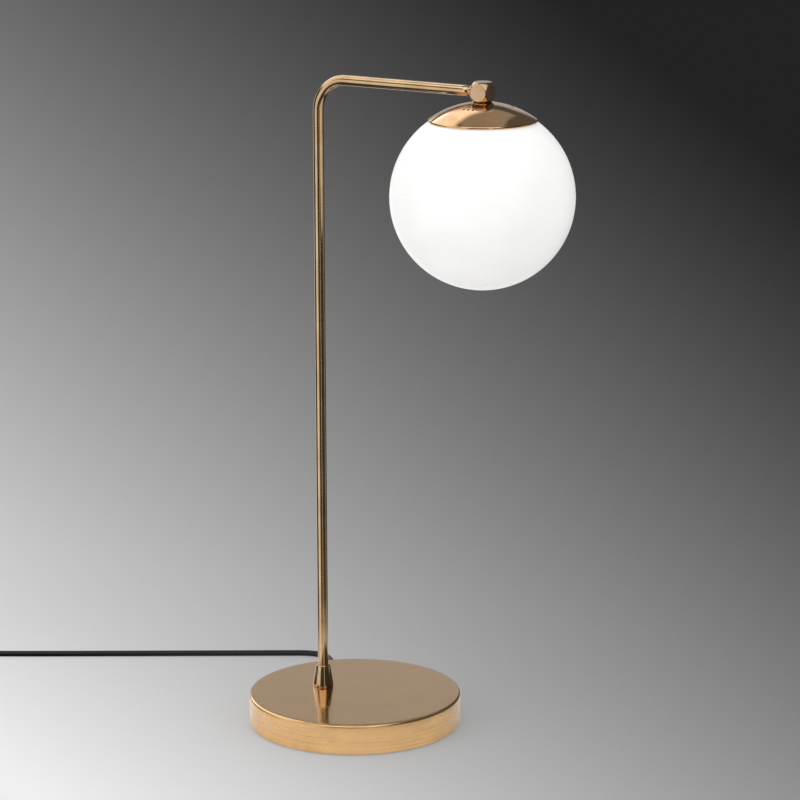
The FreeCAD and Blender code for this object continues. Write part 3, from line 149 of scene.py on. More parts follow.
# %% Closed meshes from grids
def closed_mesh(name, points, faces, slots=None):
    """A mesh object from points in mm; its signed volume, a sixth of the sum of each
    triangle's corner . (corner x corner), tells whether the faces must be turned round."""
    points, faces = np.asarray(points, float) * MM, np.asarray(faces)
    a, b, c, d = (points[faces[:, k]] for k in range(4))
    volume = (a * np.cross(b, c)).sum() + (a * np.cross(c, d)).sum()
    if volume < 0:
        faces = faces[:, ::-1]
    mesh = bpy.data.meshes.new(name)
    mesh.from_pydata(points.tolist(), [], [tuple(dict.fromkeys(f)) for f in faces.tolist()])
    mesh.polygons.foreach_set("use_smooth", np.ones(len(mesh.polygons), bool))
    if slots is not None:
        mesh.polygons.foreach_set("material_index", np.asarray(slots, np.int32))
    mesh.validate()
    mesh.update()
    piece = bpy.data.objects.new(name, mesh)
    bpy.context.scene.collection.objects.link(piece)
    return piece


def grid_faces(rows, columns, rows_close, columns_close):
    """Corner numbers of a grid's quads, where corner (row, column) has the number row *
    columns + column. A direction that closes joins its last line to its first."""
    i = np.arange(rows if rows_close else rows - 1)
    j = np.arange(columns if columns_close else columns - 1)
    i, j = (k.ravel() for k in np.meshgrid(i, j, indexing="ij"))
    i2, j2 = (i + 1) % rows, (j + 1) % columns
    return np.stack([i * columns + j, i * columns + j2, i2 * columns + j2, i2 * columns + j], 1)


# %% Rounded profiles
def rounded(corners, steps=8):
    """A closed or open profile with its corners rounded: a corner (x, y, r) becomes an arc of
    radius r that starts and ends at r * tan(half the turn) from the corner."""
    spots = []
    count = len(corners)
    for k, corner in enumerate(corners):
        here = np.array(corner[:2], float)
        if len(corner) < 3 or corner[2] <= 0:
            spots.append(here[None])
            continue
        before = np.array(corners[k - 1][:2]) - here
        after = np.array(corners[(k + 1) % count][:2]) - here
        before, after = before / np.linalg.norm(before), after / np.linalg.norm(after)
        half = math.acos(np.clip(before @ after, -1, 1)) / 2
        inward = (before + after) / np.linalg.norm(before + after)
        middle = here + inward * corner[2] / math.sin(half)
        start = here + before * corner[2] / math.tan(half) - middle
        end = here + after * corner[2] / math.tan(half) - middle
        sweep = math.acos(np.clip(start @ end / corner[2] ** 2, -1, 1))
        t = np.linspace(0, 1, steps + 1)[:, None]
        arc = (np.sin((1 - t) * sweep) * start + np.sin(t * sweep) * end) / math.sin(sweep)
        spots.append(middle + arc)
    return np.concatenate(spots)


def divided(profile, step):
    """The profile with points added so that no run is longer than step."""
    spots = [profile[:1]]
    for a, b in zip(profile, profile[1:]):
        pieces = max(1, math.ceil(np.linalg.norm(b - a) / step))
        spots.append(a + (b - a) * (np.arange(1, pieces + 1) / pieces)[:, None])
    return np.concatenate(spots)


# %% Turning on the lathe
def lathe(name, profile, place=(0, 0, 0), segments=192, axis="Z", slots=None):
    """point(angle, s) = place + (r(s) cos angle, r(s) sin angle, z(s)), round the axis.
    A profile that starts and ends on the axis is closed at its poles, any other is a ring."""
    profile = np.asarray(profile, float)
    solid = profile[0, 0] < 1e-6 and profile[-1, 0] < 1e-6
    angle = np.linspace(0, 2 * math.pi, segments, endpoint=False)
    radius, height = profile[:, 0], profile[:, 1]
    points = np.stack([radius[:, None] * np.cos(angle), radius[:, None] * np.sin(angle),
                       np.broadcast_to(height[:, None], (len(profile), segments))], axis=2)
    if axis == "X":
        points = points[..., [2, 0, 1]]
    faces = grid_faces(len(profile), segments, not solid, True)
    points = points.reshape(-1, 3)
    if solid:
        last = (len(profile) - 1) * segments
        faces = np.where(faces < segments, 0, faces)
        faces = np.where(faces >= last, last, faces)
        used = np.unique(faces)
        faces = np.searchsorted(used, faces)
        points = points[used]
    if slots is not None:
        slots = np.repeat(slots, segments)
    return closed_mesh(name, points + np.array(place), faces, slots)


print("helpers ready")

# %% [markdown]
# ## The base
# The base is a spun brass cover over an iron weight: a flat top, a small rolled edge and a
# straight side. A bevelled cylinder would give its outside, but not its wall, 1 mm thick. So
# one profile goes out over the top, down the side and back along the inside, with the same
# rounding at the edge that the real spinning leaves.

# %% Base cover
BASE_R, BASE_TOP, BASE_FOOT, WALL, EDGE_R = 90, 26.5, 1.2, 1.0, 2.0
FOOT_EDGE_R, SIDE_STARTS = 0.3, 0.4

outer = rounded([(0, BASE_TOP), (BASE_R, BASE_TOP, EDGE_R), (BASE_R, BASE_FOOT, FOOT_EDGE_R),
                 (BASE_R - WALL, BASE_FOOT, FOOT_EDGE_R),
                 (BASE_R - WALL, BASE_TOP - WALL, EDGE_R - WALL), (0, BASE_TOP - WALL)])
profile = divided(outer, 4)
on_side = (profile[:-1, 1] + profile[1:, 1]) / 2 < BASE_TOP - SIDE_STARTS
base_cover = lathe("base_cover_turned", profile, segments=256, slots=on_side.astype(int))
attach(base_cover, "lamp")
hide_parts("base_cover")
print("base cover:", len(base_cover.data.polygons), "faces")

# %% [markdown]
# ## The stem's foot
# The collar is a turned cone with a narrow straight band at its foot. It hides the hole in
# the cover. A plain cone would do from afar, but the lathe also gives the bore that the tube
# goes through, and small roundings that catch the light as they do on the real one.

# %% Stem collar
STEM_X, TUBE_R = -32, 4.4
COLLAR_FOOT_R, COLLAR_TOP_R, COLLAR_HIGH, COLLAR_BAND = 8.65, 6.0, 19, 2

collar_bore = TUBE_R + 0.1
collar_top = BASE_TOP + COLLAR_HIGH
profile = rounded([(collar_bore, BASE_TOP), (COLLAR_FOOT_R, BASE_TOP, 0.4),
                   (COLLAR_FOOT_R, BASE_TOP + COLLAR_BAND, 0.6), (COLLAR_TOP_R, collar_top, 0.7),
                   (collar_bore, collar_top, 0.4)])
collar = lathe("stem_collar_turned", divided(profile, 1), (STEM_X, 0, 0), 128)
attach(collar, "lamp")
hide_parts("stem_collar")
print("collar:", len(collar.data.polygons), "faces")

# %% [markdown]
# ## The bent tube
# Stem and arm are one tube, bent once. Its middle line is a straight run, a quarter circle
# and another straight run. A curve with a bevel would look the same from outside, but closed
# or paper-thin at its ends. So a ring of points is carried along the line, outside going up
# and inside coming back, and the open ends show a real wall.

# %% Middle line and rings
ARM_Z, BEND_R, TUBE_WALL, TUBE_FOOT, ARM_END = 551.2, 27, 1.4, 11, 111.5
RINGS_UP, RINGS_BEND, RINGS_ALONG = 60, 32, 23


def tube_line():
    """Middle line in the X-Z plane and its slope: up at STEM_X, round the bend with x = STEM_X +
    R (1 - cos t) and z = ARM_Z - R (1 - sin t), R being the bend's radius, and along +X."""
    up_z = np.linspace(TUBE_FOOT, ARM_Z - BEND_R, RINGS_UP)
    bend = np.linspace(0, math.pi / 2, RINGS_BEND + 1)[1:]
    along_x = np.linspace(STEM_X + BEND_R, ARM_END, RINGS_ALONG + 1)[1:]
    x = np.concatenate([np.full(RINGS_UP, STEM_X), STEM_X + BEND_R * (1 - np.cos(bend)), along_x])
    z = np.concatenate([up_z, ARM_Z - BEND_R * (1 - np.sin(bend)), np.full(RINGS_ALONG, ARM_Z)])
    turn = np.concatenate([np.full(RINGS_UP, math.pi / 2), math.pi / 2 - bend,
                           np.zeros(RINGS_ALONG)])
    return x, z, turn


def carried_ring(radius, x, z, turn, segments=64):
    """point(s, angle) = middle(s) + radius (cos angle * sideways(s) + sin angle * Y)."""
    angle = np.linspace(0, 2 * math.pi, segments, endpoint=False)
    side_x, side_z = -np.sin(turn)[:, None], np.cos(turn)[:, None]
    return np.stack([x[:, None] + radius[:, None] * side_x * np.cos(angle),
                     radius[:, None] * np.broadcast_to(np.sin(angle), (len(x), segments)),
                     z[:, None] + radius[:, None] * side_z * np.cos(angle)], axis=2)


x, z, turn = tube_line()
run = np.concatenate([[0], np.cumsum(np.hypot(np.diff(x), np.diff(z)))])
print("tube's middle line:", round(float(run[-1])), "mm long")

# %% Stem and arm
END_EASE = 0.4

outside = np.full(len(x), float(TUBE_R))
foot_ring = carried_ring(outside[:1] - END_EASE, x[:1], z[:1] - END_EASE, turn[:1])
end_ring = carried_ring(outside[:1] - END_EASE, x[-1:] + END_EASE, z[-1:], turn[-1:])
points = np.concatenate([foot_ring, carried_ring(outside, x, z, turn), end_ring,
                         carried_ring(outside - TUBE_WALL, x, z, turn)[::-1]])
stem = closed_mesh("stem_tube_bent", points.reshape(-1, 3),
                   grid_faces(len(points), points.shape[1], True, True))

# The brushing follows the tube: each point keeps its place round it and its distance along it.
angle = np.linspace(0, 2 * math.pi, points.shape[1], endpoint=False)
run = np.concatenate([run[:1], run, run[-1:], run[::-1]])
along = np.stack([np.broadcast_to(TUBE_R * np.cos(angle), points.shape[:2]),
                  np.broadcast_to(TUBE_R * np.sin(angle), points.shape[:2]),
                  np.broadcast_to(run[:, None], points.shape[:2])], axis=2) * MM
layer = stem.data.attributes.new("lengthwise", "FLOAT_VECTOR", "POINT")
layer.data.foreach_set("vector", along.astype(np.float32).ravel())
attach(stem, "lamp")
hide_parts("stem_tube")
print("tube:", len(points), "rings")

# %% [markdown]
# The tube ends in a thin threaded neck that runs into the elbow; a ring locks it there. The
# thread could be a true helix, but so fine a one looks the same as a row of ridges, which the
# lathe closes cleanly.

# %% Threaded neck
GLOBE_X, NECK_R, NECK_END, THREAD_PITCH, THREAD_DEEP = 124, 3.9, -5.1, 0.75, 0.35
FIRST_CREST, NECK_EASE = 0.4, 0.2

neck_start, bore_r = ARM_END - GLOBE_X, TUBE_R - TUBE_WALL
crests = np.arange(neck_start + FIRST_CREST, NECK_END - THREAD_PITCH, THREAD_PITCH)
ridges = np.stack([np.full_like(crests, NECK_R), crests], 1)
thread = np.stack([ridges, ridges + (-THREAD_DEEP, THREAD_PITCH / 2)], 1).reshape(-1, 2)
thread = np.concatenate([[(bore_r, neck_start), (NECK_R, neck_start)], thread,
                         [(NECK_R - NECK_EASE, NECK_END), (bore_r, NECK_END)]])
neck = lathe("arm_neck", thread, (GLOBE_X, 0, ARM_Z), 64, axis="X")
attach(neck, "lamp")
print("neck:", len(crests), "thread rings")

# %% Lock ring
RING_R, RING_WIDE, RING_PLAY, RING_EDGE_R, BALL_HALF = 5.1, 2.0, 0.05, 0.5, 8.2

ring_start, ring_bore = -BALL_HALF - RING_WIDE, NECK_R + RING_PLAY
profile = rounded([(ring_bore, ring_start), (RING_R, ring_start, RING_EDGE_R),
                   (RING_R, ring_start + RING_WIDE, RING_EDGE_R),
                   (ring_bore, ring_start + RING_WIDE)])
lock_ring = lathe("arm_lock_ring_turned", profile, (GLOBE_X, 0, ARM_Z), 96, axis="X")
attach(lock_ring, "lamp")
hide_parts("arm_lock_ring")
print("lock ring:", len(lock_ring.data.polygons), "faces")

# %% [markdown]
# ## The elbow
# The elbow is a ball with six flats ground on it. Six Boolean cuts would make it, with thin
# triangles along their edges that spoil a polished surface. Seen from its middle, each
# direction meets either the ball or the nearest flat, whichever is closer, so one formula
# gives the whole shape. The edge between ball and flat is eased a little, as polishing does.

# %% Elbow ball
BALL_R, EASE = 10.8, 0.12


def ball_with_flats(steps):
    """Six grids on a cube's faces; each direction n has its point at the smooth least of
    the ball's radius R and the flat's distance H / max|n|, least(a, b) = mean - sqrt(gap^2 +
    ease^2) / 2."""
    t = np.tan(np.linspace(-1, 1, steps + 1) * math.pi / 4)
    u, v = np.meshgrid(t, t, indexing="ij")
    grids = []
    for axis in range(3):
        for sign in (1, -1):
            flat = np.stack([np.full_like(u, sign), u, v * sign], axis=2)
            grids.append(np.roll(flat, axis, axis=2))
    way = np.stack(grids)
    way /= np.linalg.norm(way, axis=-1, keepdims=True)
    flat_at = BALL_HALF / np.abs(way).max(axis=-1)
    gap = BALL_R - flat_at
    least = (BALL_R + flat_at) / 2 - np.sqrt(gap ** 2 + EASE ** 2) / 2
    return way * least[..., None]


STEPS = 88
grids = ball_with_flats(STEPS)
side = grid_faces(STEPS + 1, STEPS + 1, False, False)
faces = np.concatenate([side + k * (STEPS + 1) ** 2 for k in range(6)])
points = grids.reshape(-1, 3)
spots, same = np.unique(np.round(points, 5), axis=0, return_inverse=True)
elbow = closed_mesh("elbow_ball_polished", spots + (GLOBE_X, 0, ARM_Z), same.reshape(-1)[faces])
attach(elbow, "lamp")
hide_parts("elbow_ball")
print("elbow:", len(spots), "points")

# %% [markdown]
# ## The domed cap
# The cap is spun from 0.8 mm sheet: a flat seat, a part of a large sphere, a rolled shoulder
# and a short skirt. Nine small vent holes in three groups let the bulb's heat out. They could
# be dark spots in the material, but real holes look right from every side. They are cut with
# a Boolean modifier that is applied at once.

# %% Domed cap
SEAT_Z, SEAT_R, SEAT_HOLE_R, DOME_R, SHEET = 543.0, 8.5, 4.95, 75.5, 0.8
RIM_R, RIM_FOOT, SHOULDER_Z, ROLL_R, RINGS = 44.2, 527.1, 528.9, 1.6, 40
# The outer skin of the sphere stops OUTER_STOP short of the rim, the inner one INNER_STOP short
# of the wall. The roll's corner is ROLL_DOWN under the sphere's height ROLL_IN inside the rim.
OUTER_STOP, INNER_STOP, ROLL_IN, ROLL_DOWN = 0.9, 0.7, 0.2, 0.1
# The skirt is straight down to SKIRT_FROM over its foot. Below that its cut edge goes in, and
# up again inside, by CUT_EDGE. INSIDE_DROP is from the shoulder to the inner corner.
SKIRT_FROM, CUT_EDGE, INSIDE_DROP = 1.1, 0.55, 0.4

dome_middle = SEAT_Z - math.sqrt(DOME_R ** 2 - SEAT_R ** 2)


def crown(radius, distance):
    """Height over the floor of the dome's sphere at this distance from its axis: the height of
    its middle plus the root of radius^2 - distance^2."""
    return dome_middle + np.sqrt(radius ** 2 - distance ** 2)


reach = np.linspace(SEAT_R, RIM_R - OUTER_STOP, RINGS)
outer = np.stack([reach, crown(DOME_R, reach)], 1)
roll_z = float(crown(DOME_R, RIM_R - ROLL_IN)) - ROLL_DOWN
shoulder = rounded([tuple(outer[-1]), (RIM_R, roll_z, ROLL_R), (RIM_R, RIM_FOOT + SKIRT_FROM, 0.3),
                    (RIM_R - CUT_EDGE, RIM_FOOT, 0.25),
                    (RIM_R - SHEET, RIM_FOOT + CUT_EDGE, 0.2),
                    (RIM_R - SHEET, SHOULDER_Z - INSIDE_DROP, 0.4)])
back = np.linspace(RIM_R - SHEET - INNER_STOP, SEAT_R, RINGS)
inner = np.stack([back, crown(DOME_R - SHEET, back)], 1)
seat = np.array([(SEAT_HOLE_R, SEAT_Z - SHEET), (SEAT_HOLE_R, SEAT_Z)])
profile = np.concatenate([seat, outer[:-1], shoulder, inner])
dome = lathe("dome_cap_spun", profile, (GLOBE_X, 0, 0), 256)

# %% Vent holes
VENT_R, VENT_CIRCLE, VENT_SIDES, PUNCH_FROM, PUNCH_HIGH = 1.0, 23.5, 24, 530.0, 16
VENT_ANGLES = [place + 120 * group for group in range(3) for place in (20, 30, 40)]

at = np.radians(VENT_ANGLES)[:, None]
angle = np.linspace(0, 2 * math.pi, VENT_SIDES, endpoint=False)
low = np.stack([GLOBE_X + VENT_CIRCLE * np.cos(at) + VENT_R * np.cos(angle),
                VENT_CIRCLE * np.sin(at) + VENT_R * np.sin(angle),
                np.full((len(at), VENT_SIDES), PUNCH_FROM)], axis=2)
points = np.stack([low, low + (0, 0, PUNCH_HIGH)], axis=1).reshape(-1, 3) * MM
first = np.arange(len(at))[:, None, None] * 2 * VENT_SIDES
walls = (grid_faces(2, VENT_SIDES, False, True)[:, ::-1] + first).reshape(-1, 4)
corner = np.arange(VENT_SIDES)
lids = np.concatenate([first[:, 0] + corner[::-1], first[:, 0] + VENT_SIDES + corner])
vent_mesh = bpy.data.meshes.new("vents")
vent_mesh.from_pydata(points.tolist(), [], walls.tolist() + lids.tolist())
vents = bpy.data.objects.new("vents", vent_mesh)
bpy.context.scene.collection.objects.link(vents)
cut = dome.modifiers.new("vents", "BOOLEAN")
cut.operation, cut.solver, cut.object = "DIFFERENCE", "EXACT", vents
baked = bpy.data.meshes.new_from_object(dome.evaluated_get(bpy.context.evaluated_depsgraph_get()))
dome.modifiers.clear()
dome.data = baked
bpy.data.objects.remove(vents)
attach(dome, "lamp")
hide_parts("dome_cap")
print("dome:", len(dome.data.polygons), "faces")

# %% [markdown]
# ## The opal globe
# The globe is blown glass 3 mm thick, cut off at its mouth. A sphere with a Solidify modifier
# would give the wall, but a sharp cut at the mouth. Here both skins are parts of spheres about
# the same middle, joined by a lip as round as the flame leaves it.

# %% Globe
GLASS_R, GLASS_WALL, GLASS_Z, MOUTH_R, SKIN_RINGS, LIP_STEPS = 75, 3, 466, 40, 128, 8
LIP_TURN, LIP_FLARE, LIP_BULGE = 0.01, 0.3, 0.5

edge = math.asin(MOUTH_R / GLASS_R)
down = np.linspace(math.pi, edge + LIP_TURN, SKIN_RINGS)
skin = np.stack([GLASS_R * np.sin(down), GLASS_Z + GLASS_R * np.cos(down)], 1)
skin[0, 0] = 0
edge_in = math.asin((MOUTH_R + LIP_FLARE) / (GLASS_R - GLASS_WALL))
back = np.linspace(edge_in, math.pi, SKIN_RINGS)
lining = np.stack([(GLASS_R - GLASS_WALL) * np.sin(back),
                   GLASS_Z + (GLASS_R - GLASS_WALL) * np.cos(back)], 1)
lining[-1, 0] = 0
lip_middle = (skin[-1] + lining[0]) / 2
lip_turn = np.linspace(0, math.pi, LIP_STEPS + 1)[1:-1, None]
half = skin[-1] - lip_middle
side_way = np.array([-half[1], half[0]])
lip = lip_middle + np.cos(lip_turn) * half + np.sin(lip_turn) * side_way * LIP_BULGE
globe = lathe("globe_blown", np.concatenate([skin, lip, lining]), (GLOBE_X, 0, 0), 256)
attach(globe, "globe")
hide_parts("globe_glass")
print("globe:", len(globe.data.polygons), "faces")

# %% [markdown]
# ## Finishes
# Colours are written as sRGB hex values, as on a paint chart, and one function turns them to
# the linear values that Blender works with. One small function adds a node to a material.

# %% Colours and nodes
def linear(chart):
    """Linear red, green, blue and 1 from '#RRGGBB': c / 12.92, or ((c + 0.055) / 1.055)^2.4."""
    c = np.array([int(chart[k:k + 2], 16) for k in (1, 3, 5)]) / 255
    c = np.where(c <= 0.04045, c / 12.92, ((c + 0.055) / 1.055) ** 2.4)
    return (*c.tolist(), 1.0)


def add(tree, kind, feeds=None, **settings):
    """Adds a shader node; feeds gives its sockets a value or another node's output."""
    made = tree.nodes.new("ShaderNode" + kind)
    for key, value in settings.items():
        setattr(made, key, value)
    for key, value in (feeds or {}).items():
        if isinstance(value, bpy.types.NodeSocket):
            tree.links.new(value, made.inputs[key])
        else:
            made.inputs[key].default_value = value
    return made


def started(name, **sockets):
    """A new material, its node tree, its shader and its output."""
    material = bpy.data.materials.new(name)
    material.use_nodes = True
    tree = material.node_tree
    tree.nodes.clear()
    sockets = {key.replace("_", " ").title().replace("Ior", "IOR"): value
               for key, value in sockets.items()}
    shader = add(tree, "BsdfPrincipled", sockets)
    add(tree, "OutputMaterial", {"Surface": shader.outputs[0]})
    return material, tree, shader


def grain(tree, size_mm, stretch=(1, 1, 1), detail=4.0, source="Object"):
    """Noise whose spots are size_mm wide, drawn out by the stretch; a larger number is longer."""
    if source == "Object":
        place = add(tree, "TexCoord").outputs["Object"]
    else:
        place = add(tree, "Attribute", attribute_name=source).outputs["Vector"]
    eased = add(tree, "Mapping", {"Vector": place, "Scale": [1 / s for s in stretch]})
    return add(tree, "TexNoise", {"Vector": eased.outputs[0], "Scale": 1 / (size_mm * MM),
                                  "Detail": detail, "Roughness": 0.55}).outputs[0]


def between(tree, amount, low, high, start=0.35, end=0.65):
    """A number that goes from low to high as the amount goes from start to end."""
    return add(tree, "MapRange", {"Value": amount, "From Min": start, "From Max": end,
                                  "To Min": low, "To Max": high}).outputs[0]


def tinted(tree, amount, one, other, start=0.35, end=0.65):
    """A colour that goes from one chart colour to the other."""
    share = between(tree, amount, 0.0, 1.0, start, end)
    return add(tree, "Mix", {0: share, 6: linear(one), 7: linear(other)},
               data_type="RGBA").outputs[2]


def bumped(tree, shader, height, deep_mm):
    """Turns the shader's normal by this height pattern, deep_mm from valley to crest."""
    bump = add(tree, "Bump", {"Height": height, "Distance": deep_mm * MM, "Strength": 1.0})
    tree.links.new(bump.outputs[0], shader.inputs["Normal"])


print("finish helpers ready")

# %% [markdown]
# ## Antique brass
# The visible metal is brass-plated steel, toned brown and lacquered. It was polished on the
# base's top, the dome and the elbow, brushed round on the base's side, and brushed lengthwise
# on the tube. The lacquer lies over the metal as a clear coat: it adds a pale sheen at
# grazing angles, which is why the base's top looks greyer than its side. A photograph of
# brass could be wrapped round the pieces; noise on their own coordinates needs no unwrapping,
# and its marks keep their real size on every piece.

# %% Antique brass
def antique_brass(name, rough, spread, speck_mm, deep_mm, stretch=(1, 1, 1), source="Object",
                  tone=("#DFAE6C", "#C9955A"), lacquer=1.0, streaks=0.1):
    """Brass with slow toning, about 25 mm wide, and fine marks of speck_mm, deep_mm deep,
    which are darker by the share in streaks."""
    material, tree, shader = started(name, metallic=1.0, coat_weight=lacquer, coat_ior=1.5,
                                     coat_roughness=0.06)
    toning = grain(tree, 25, detail=3.0)
    marks = grain(tree, speck_mm, stretch, 2.0, source)
    shade = between(tree, marks, 1 - streaks, 1.0, 0.3, 0.55)
    toned = add(tree, "VectorMath", {0: tinted(tree, toning, *tone), "Scale": shade},
                operation="SCALE").outputs[0]
    tree.links.new(toned, shader.inputs["Base Color"])
    gloss = between(tree, marks, rough - spread, rough + spread)
    tree.links.new(gloss, shader.inputs["Roughness"])
    bumped(tree, shader, marks, deep_mm)
    return material


brass_top = antique_brass("brass, polished and toned", 0.15, 0.06, 1.7, 0.012,
                          tone=("#E0B276", "#DAAD72"), streaks=0.12, lacquer=0.6)
brass_side = antique_brass("brass, brushed round", 0.26, 0.08, 1.1, 0.006, (90, 90, 1),
                           tone=("#E4BA80", "#D8AC76"), streaks=0.22, lacquer=0.5)
brass_tube = antique_brass("brass tube, brushed lengthwise", 0.16, 0.03, 1.6, 0.0003,
                           (1, 1, 60), source="lengthwise", tone=("#D3B388", "#BD9A6E"),
                           streaks=0.05, lacquer=0.7)
brass_turned = antique_brass("brass, turned", 0.12, 0.03, 1.2, 0.0005, (40, 40, 1),
                             tone=("#C9AA80", "#B29369"), lacquer=0.7)
brass_elbow = antique_brass("brass, ground and toned dark", 0.14, 0.03, 1.7, 0.0005,
                            tone=("#C2A07E", "#AC8963"), lacquer=0.6)
brass_dome = antique_brass("brass, spun and polished", 0.08, 0.02, 1.7, 0.001,
                           tone=("#DCAF7C", "#CC9D66"), lacquer=0.8)
for made in (brass_top, brass_side):
    base_cover.data.materials.append(made)
for piece, made in ((collar, brass_turned), (stem, brass_tube), (neck, brass_turned),
                    (lock_ring, brass_turned), (elbow, brass_elbow), (dome, brass_dome)):
    piece.data.materials.append(made)
print("brass finishes:", 6)

# %% [markdown]
# ## Opal glass
# The globe is white opal glass, blown and etched to a satin skin. Light spreads inside it, so
# it looks evenly white from every side and hides the bulb. A volume full of scattering would
# be true to life, but slow and grainy. Subsurface light under a white skin comes close, and a
# painted glow, an emission that fills in the globe's shade, gives the nearly flat white that
# the photograph shows.

# %% Opal glass
# The emission is a painted glow: no bulb is lit, it only evens out the globe's shading.
opal, tree, shader = started("opal glass, etched, painted glow", ior=1.5, subsurface_weight=0.35,
                             subsurface_scale=0.02, subsurface_radius=(1, 1, 1),
                             emission_strength=0.31)
shader.inputs["Emission Color"].default_value = linear("#FFFFFF")
cloud = grain(tree, 40, detail=2.0)
# The base colour is a little grey; the painted glow makes up the rest of the white.
tree.links.new(tinted(tree, cloud, "#D8D8D6", "#D4D4D2"), shader.inputs["Base Color"])
etching = grain(tree, 1.6, detail=2.0)
tree.links.new(between(tree, etching, 0.26, 0.34), shader.inputs["Roughness"])
bumped(tree, shader, etching, 0.0006)
globe.data.materials.append(opal)
print("on the globe:", opal.name)

# %% [markdown]
# ## The other finishes
# The rest of the lamp is hidden inside, or lies out of the picture, but each piece still has
# its own material: a base colour that wanders a little, marks of a real size from the way it
# was made, and a gloss that varies with them. They differ only in such numbers, so one maker
# does them all.

# %% One maker for the plain finishes
finishes = {"antique_brass": brass_turned, "opal_glass": opal}


def plain_finish(slot, name, colours, rough, marks_mm, deep_mm, stretch=(1, 1, 1), spread=0.05,
                 **sockets):
    """A material for one slot: two close colours, and marks that shape gloss and surface."""
    material, tree, shader = started(name, **sockets)
    marks = grain(tree, marks_mm, stretch)
    tree.links.new(tinted(tree, marks, *colours), shader.inputs["Base Color"])
    tree.links.new(between(tree, marks, max(rough - spread, 0.02), rough + spread),
                   shader.inputs["Roughness"])
    bumped(tree, shader, marks, deep_mm)
    finishes[slot] = material


# %% Metals
# Grey cast iron from a sand mould: grains of sand 1 to 2 mm across leave a rough, dull skin.
plain_finish("cast_iron", "cast iron, as cast", ("#3A3A3C", "#2B2927"), 0.72, 1.6, 0.25,
             metallic=0.6)
# Black powder coat on flat sheet: it flows out to a fine orange peel about 1 mm wide.
plain_finish("black_steel", "powder-coated steel", ("#17171A", "#0F0F10"), 0.45, 1.0, 0.02,
             coat_weight=0.2, coat_roughness=0.3)
# Zinc plating copies the drawn lines of the metal below, with a faint cloudy grey.
plain_finish("zinc_steel", "zinc-plated steel", ("#CFD1D3", "#B4B7BB"), 0.32, 0.5, 0.01,
             (1, 1, 6), metallic=1.0)
# Cold-rolled spring strip is darker, with straight rolling lines.
plain_finish("spring_steel", "rolled spring steel", ("#A9A9AB", "#8C8C90"), 0.3, 0.4, 0.008,
             (30, 1, 1), metallic=1.0)
# Bare brass inside the holder and the terminals is yellower, with turning lines and tarnish.
plain_finish("bare_brass", "bare brass", ("#E6C878", "#C9A04F"), 0.3, 0.6, 0.01, (8, 8, 1),
             metallic=1.0)
# The bulb's cap is pressed from bright aluminium sheet.
plain_finish("bulb_cap_metal", "pressed aluminium", ("#DCDCD9", "#C4C4C0"), 0.28, 0.5, 0.008,
             (12, 12, 1), metallic=1.0)
# Nickel over brass: warm grey and bright, with the faint scuffs of a pin that has been used.
plain_finish("nickel", "nickel plate", ("#DAD5CB", "#C3BDB1"), 0.16, 0.7, 0.004, (6, 1, 1),
             metallic=1.0)
print("metal finishes done")

# %% Plastics, glaze and glass
# Mouldings in black polyamide have a spark-eroded texture, about 0.4 mm wide, so they look
# satin; the drawing is a little coarser, so that it shows.
plain_finish("black_plastic", "polyamide, spark-eroded mould", ("#1B1B1D", "#121213"), 0.42,
             0.5, 0.03)
# The switch's rocker comes from a polished mould, so it is glossy and only a little wavy.
plain_finish("black_gloss_plastic", "polyamide, polished mould", ("#17171A", "#101012"), 0.2,
             3.0, 0.01)
# Natural polyamide is milky white, and shows slow flow marks from the mould.
plain_finish("white_plastic", "natural polyamide", ("#E4E4DF", "#D8D7CF"), 0.4, 4.0, 0.01,
             subsurface_weight=0.1, subsurface_scale=0.004)
# Wire insulation is extruded PVC: glossy, with faint streaks along the wire.
plain_finish("brown_insulation", "brown PVC insulation", ("#5A3722", "#472A1A"), 0.3, 0.5, 0.01,
             (1, 1, 8))
plain_finish("blue_insulation", "blue PVC insulation", ("#2F63B0", "#275598"), 0.3, 0.5, 0.01,
             (1, 1, 8))
# The lampholder is pressed from phenolic powder: deep black, with tiny paler flecks.
plain_finish("holder_phenolic", "pressed phenolic", ("#1C1A19", "#2A2624"), 0.26, 0.6, 0.006)
# Glazed porcelain: the glaze flows out smooth, and is a little uneven over 5 mm.
plain_finish("porcelain", "glazed porcelain", ("#ECEAE4", "#E0DDD5"), 0.1, 5.0, 0.04,
             coat_weight=0.5, coat_roughness=0.05)
# Black glass insulates the bulb's contact: poured hot, it sets with a smooth, bright skin.
plain_finish("black_glass", "black glass insulator", ("#121217", "#1B1B22"), 0.08, 2.0, 0.01)
# The bulb's glass is frosted inside: it lets the light through and spreads it.
plain_finish("bulb_glass", "frosted glass", ("#FBFBF8", "#F3F3EE"), 0.38, 0.8, 0.004,
             transmission_weight=0.75, ior=1.5)
print("plastic, glaze and glass finishes done")

# %% Cord and felt
# The cord is round and sheathed in satin black PVC. Extrusion leaves faint streaks, and
# handling leaves a slow unevenness in the gloss.
plain_finish("cord_sheath", "cord sheath, satin PVC", ("#09090A", "#0E0E10"), 0.36, 1.6, 0.01,
             specular_ior_level=0.35)
cord.data.materials.append(finishes["cord_sheath"])

# Felt is a mat of wool fibres about 0.03 mm thick; they are drawn 0.5 mm wide, so they show.
felt, tree, shader = started("pressed wool felt", sheen_weight=0.4, sheen_roughness=0.6,
                             roughness=0.95)
fibres = grain(tree, 0.5, (6, 1, 1), 6.0)
crossing = grain(tree, 0.5, (1, 6, 1), 6.0)
mat = add(tree, "Math", {0: fibres, 1: crossing}, operation="MAXIMUM").outputs[0]
tree.links.new(tinted(tree, mat, "#121212", "#2B2B2B", 0.45, 0.75), shader.inputs["Base Color"])
bumped(tree, shader, mat, 0.3)
finishes["felt"] = felt

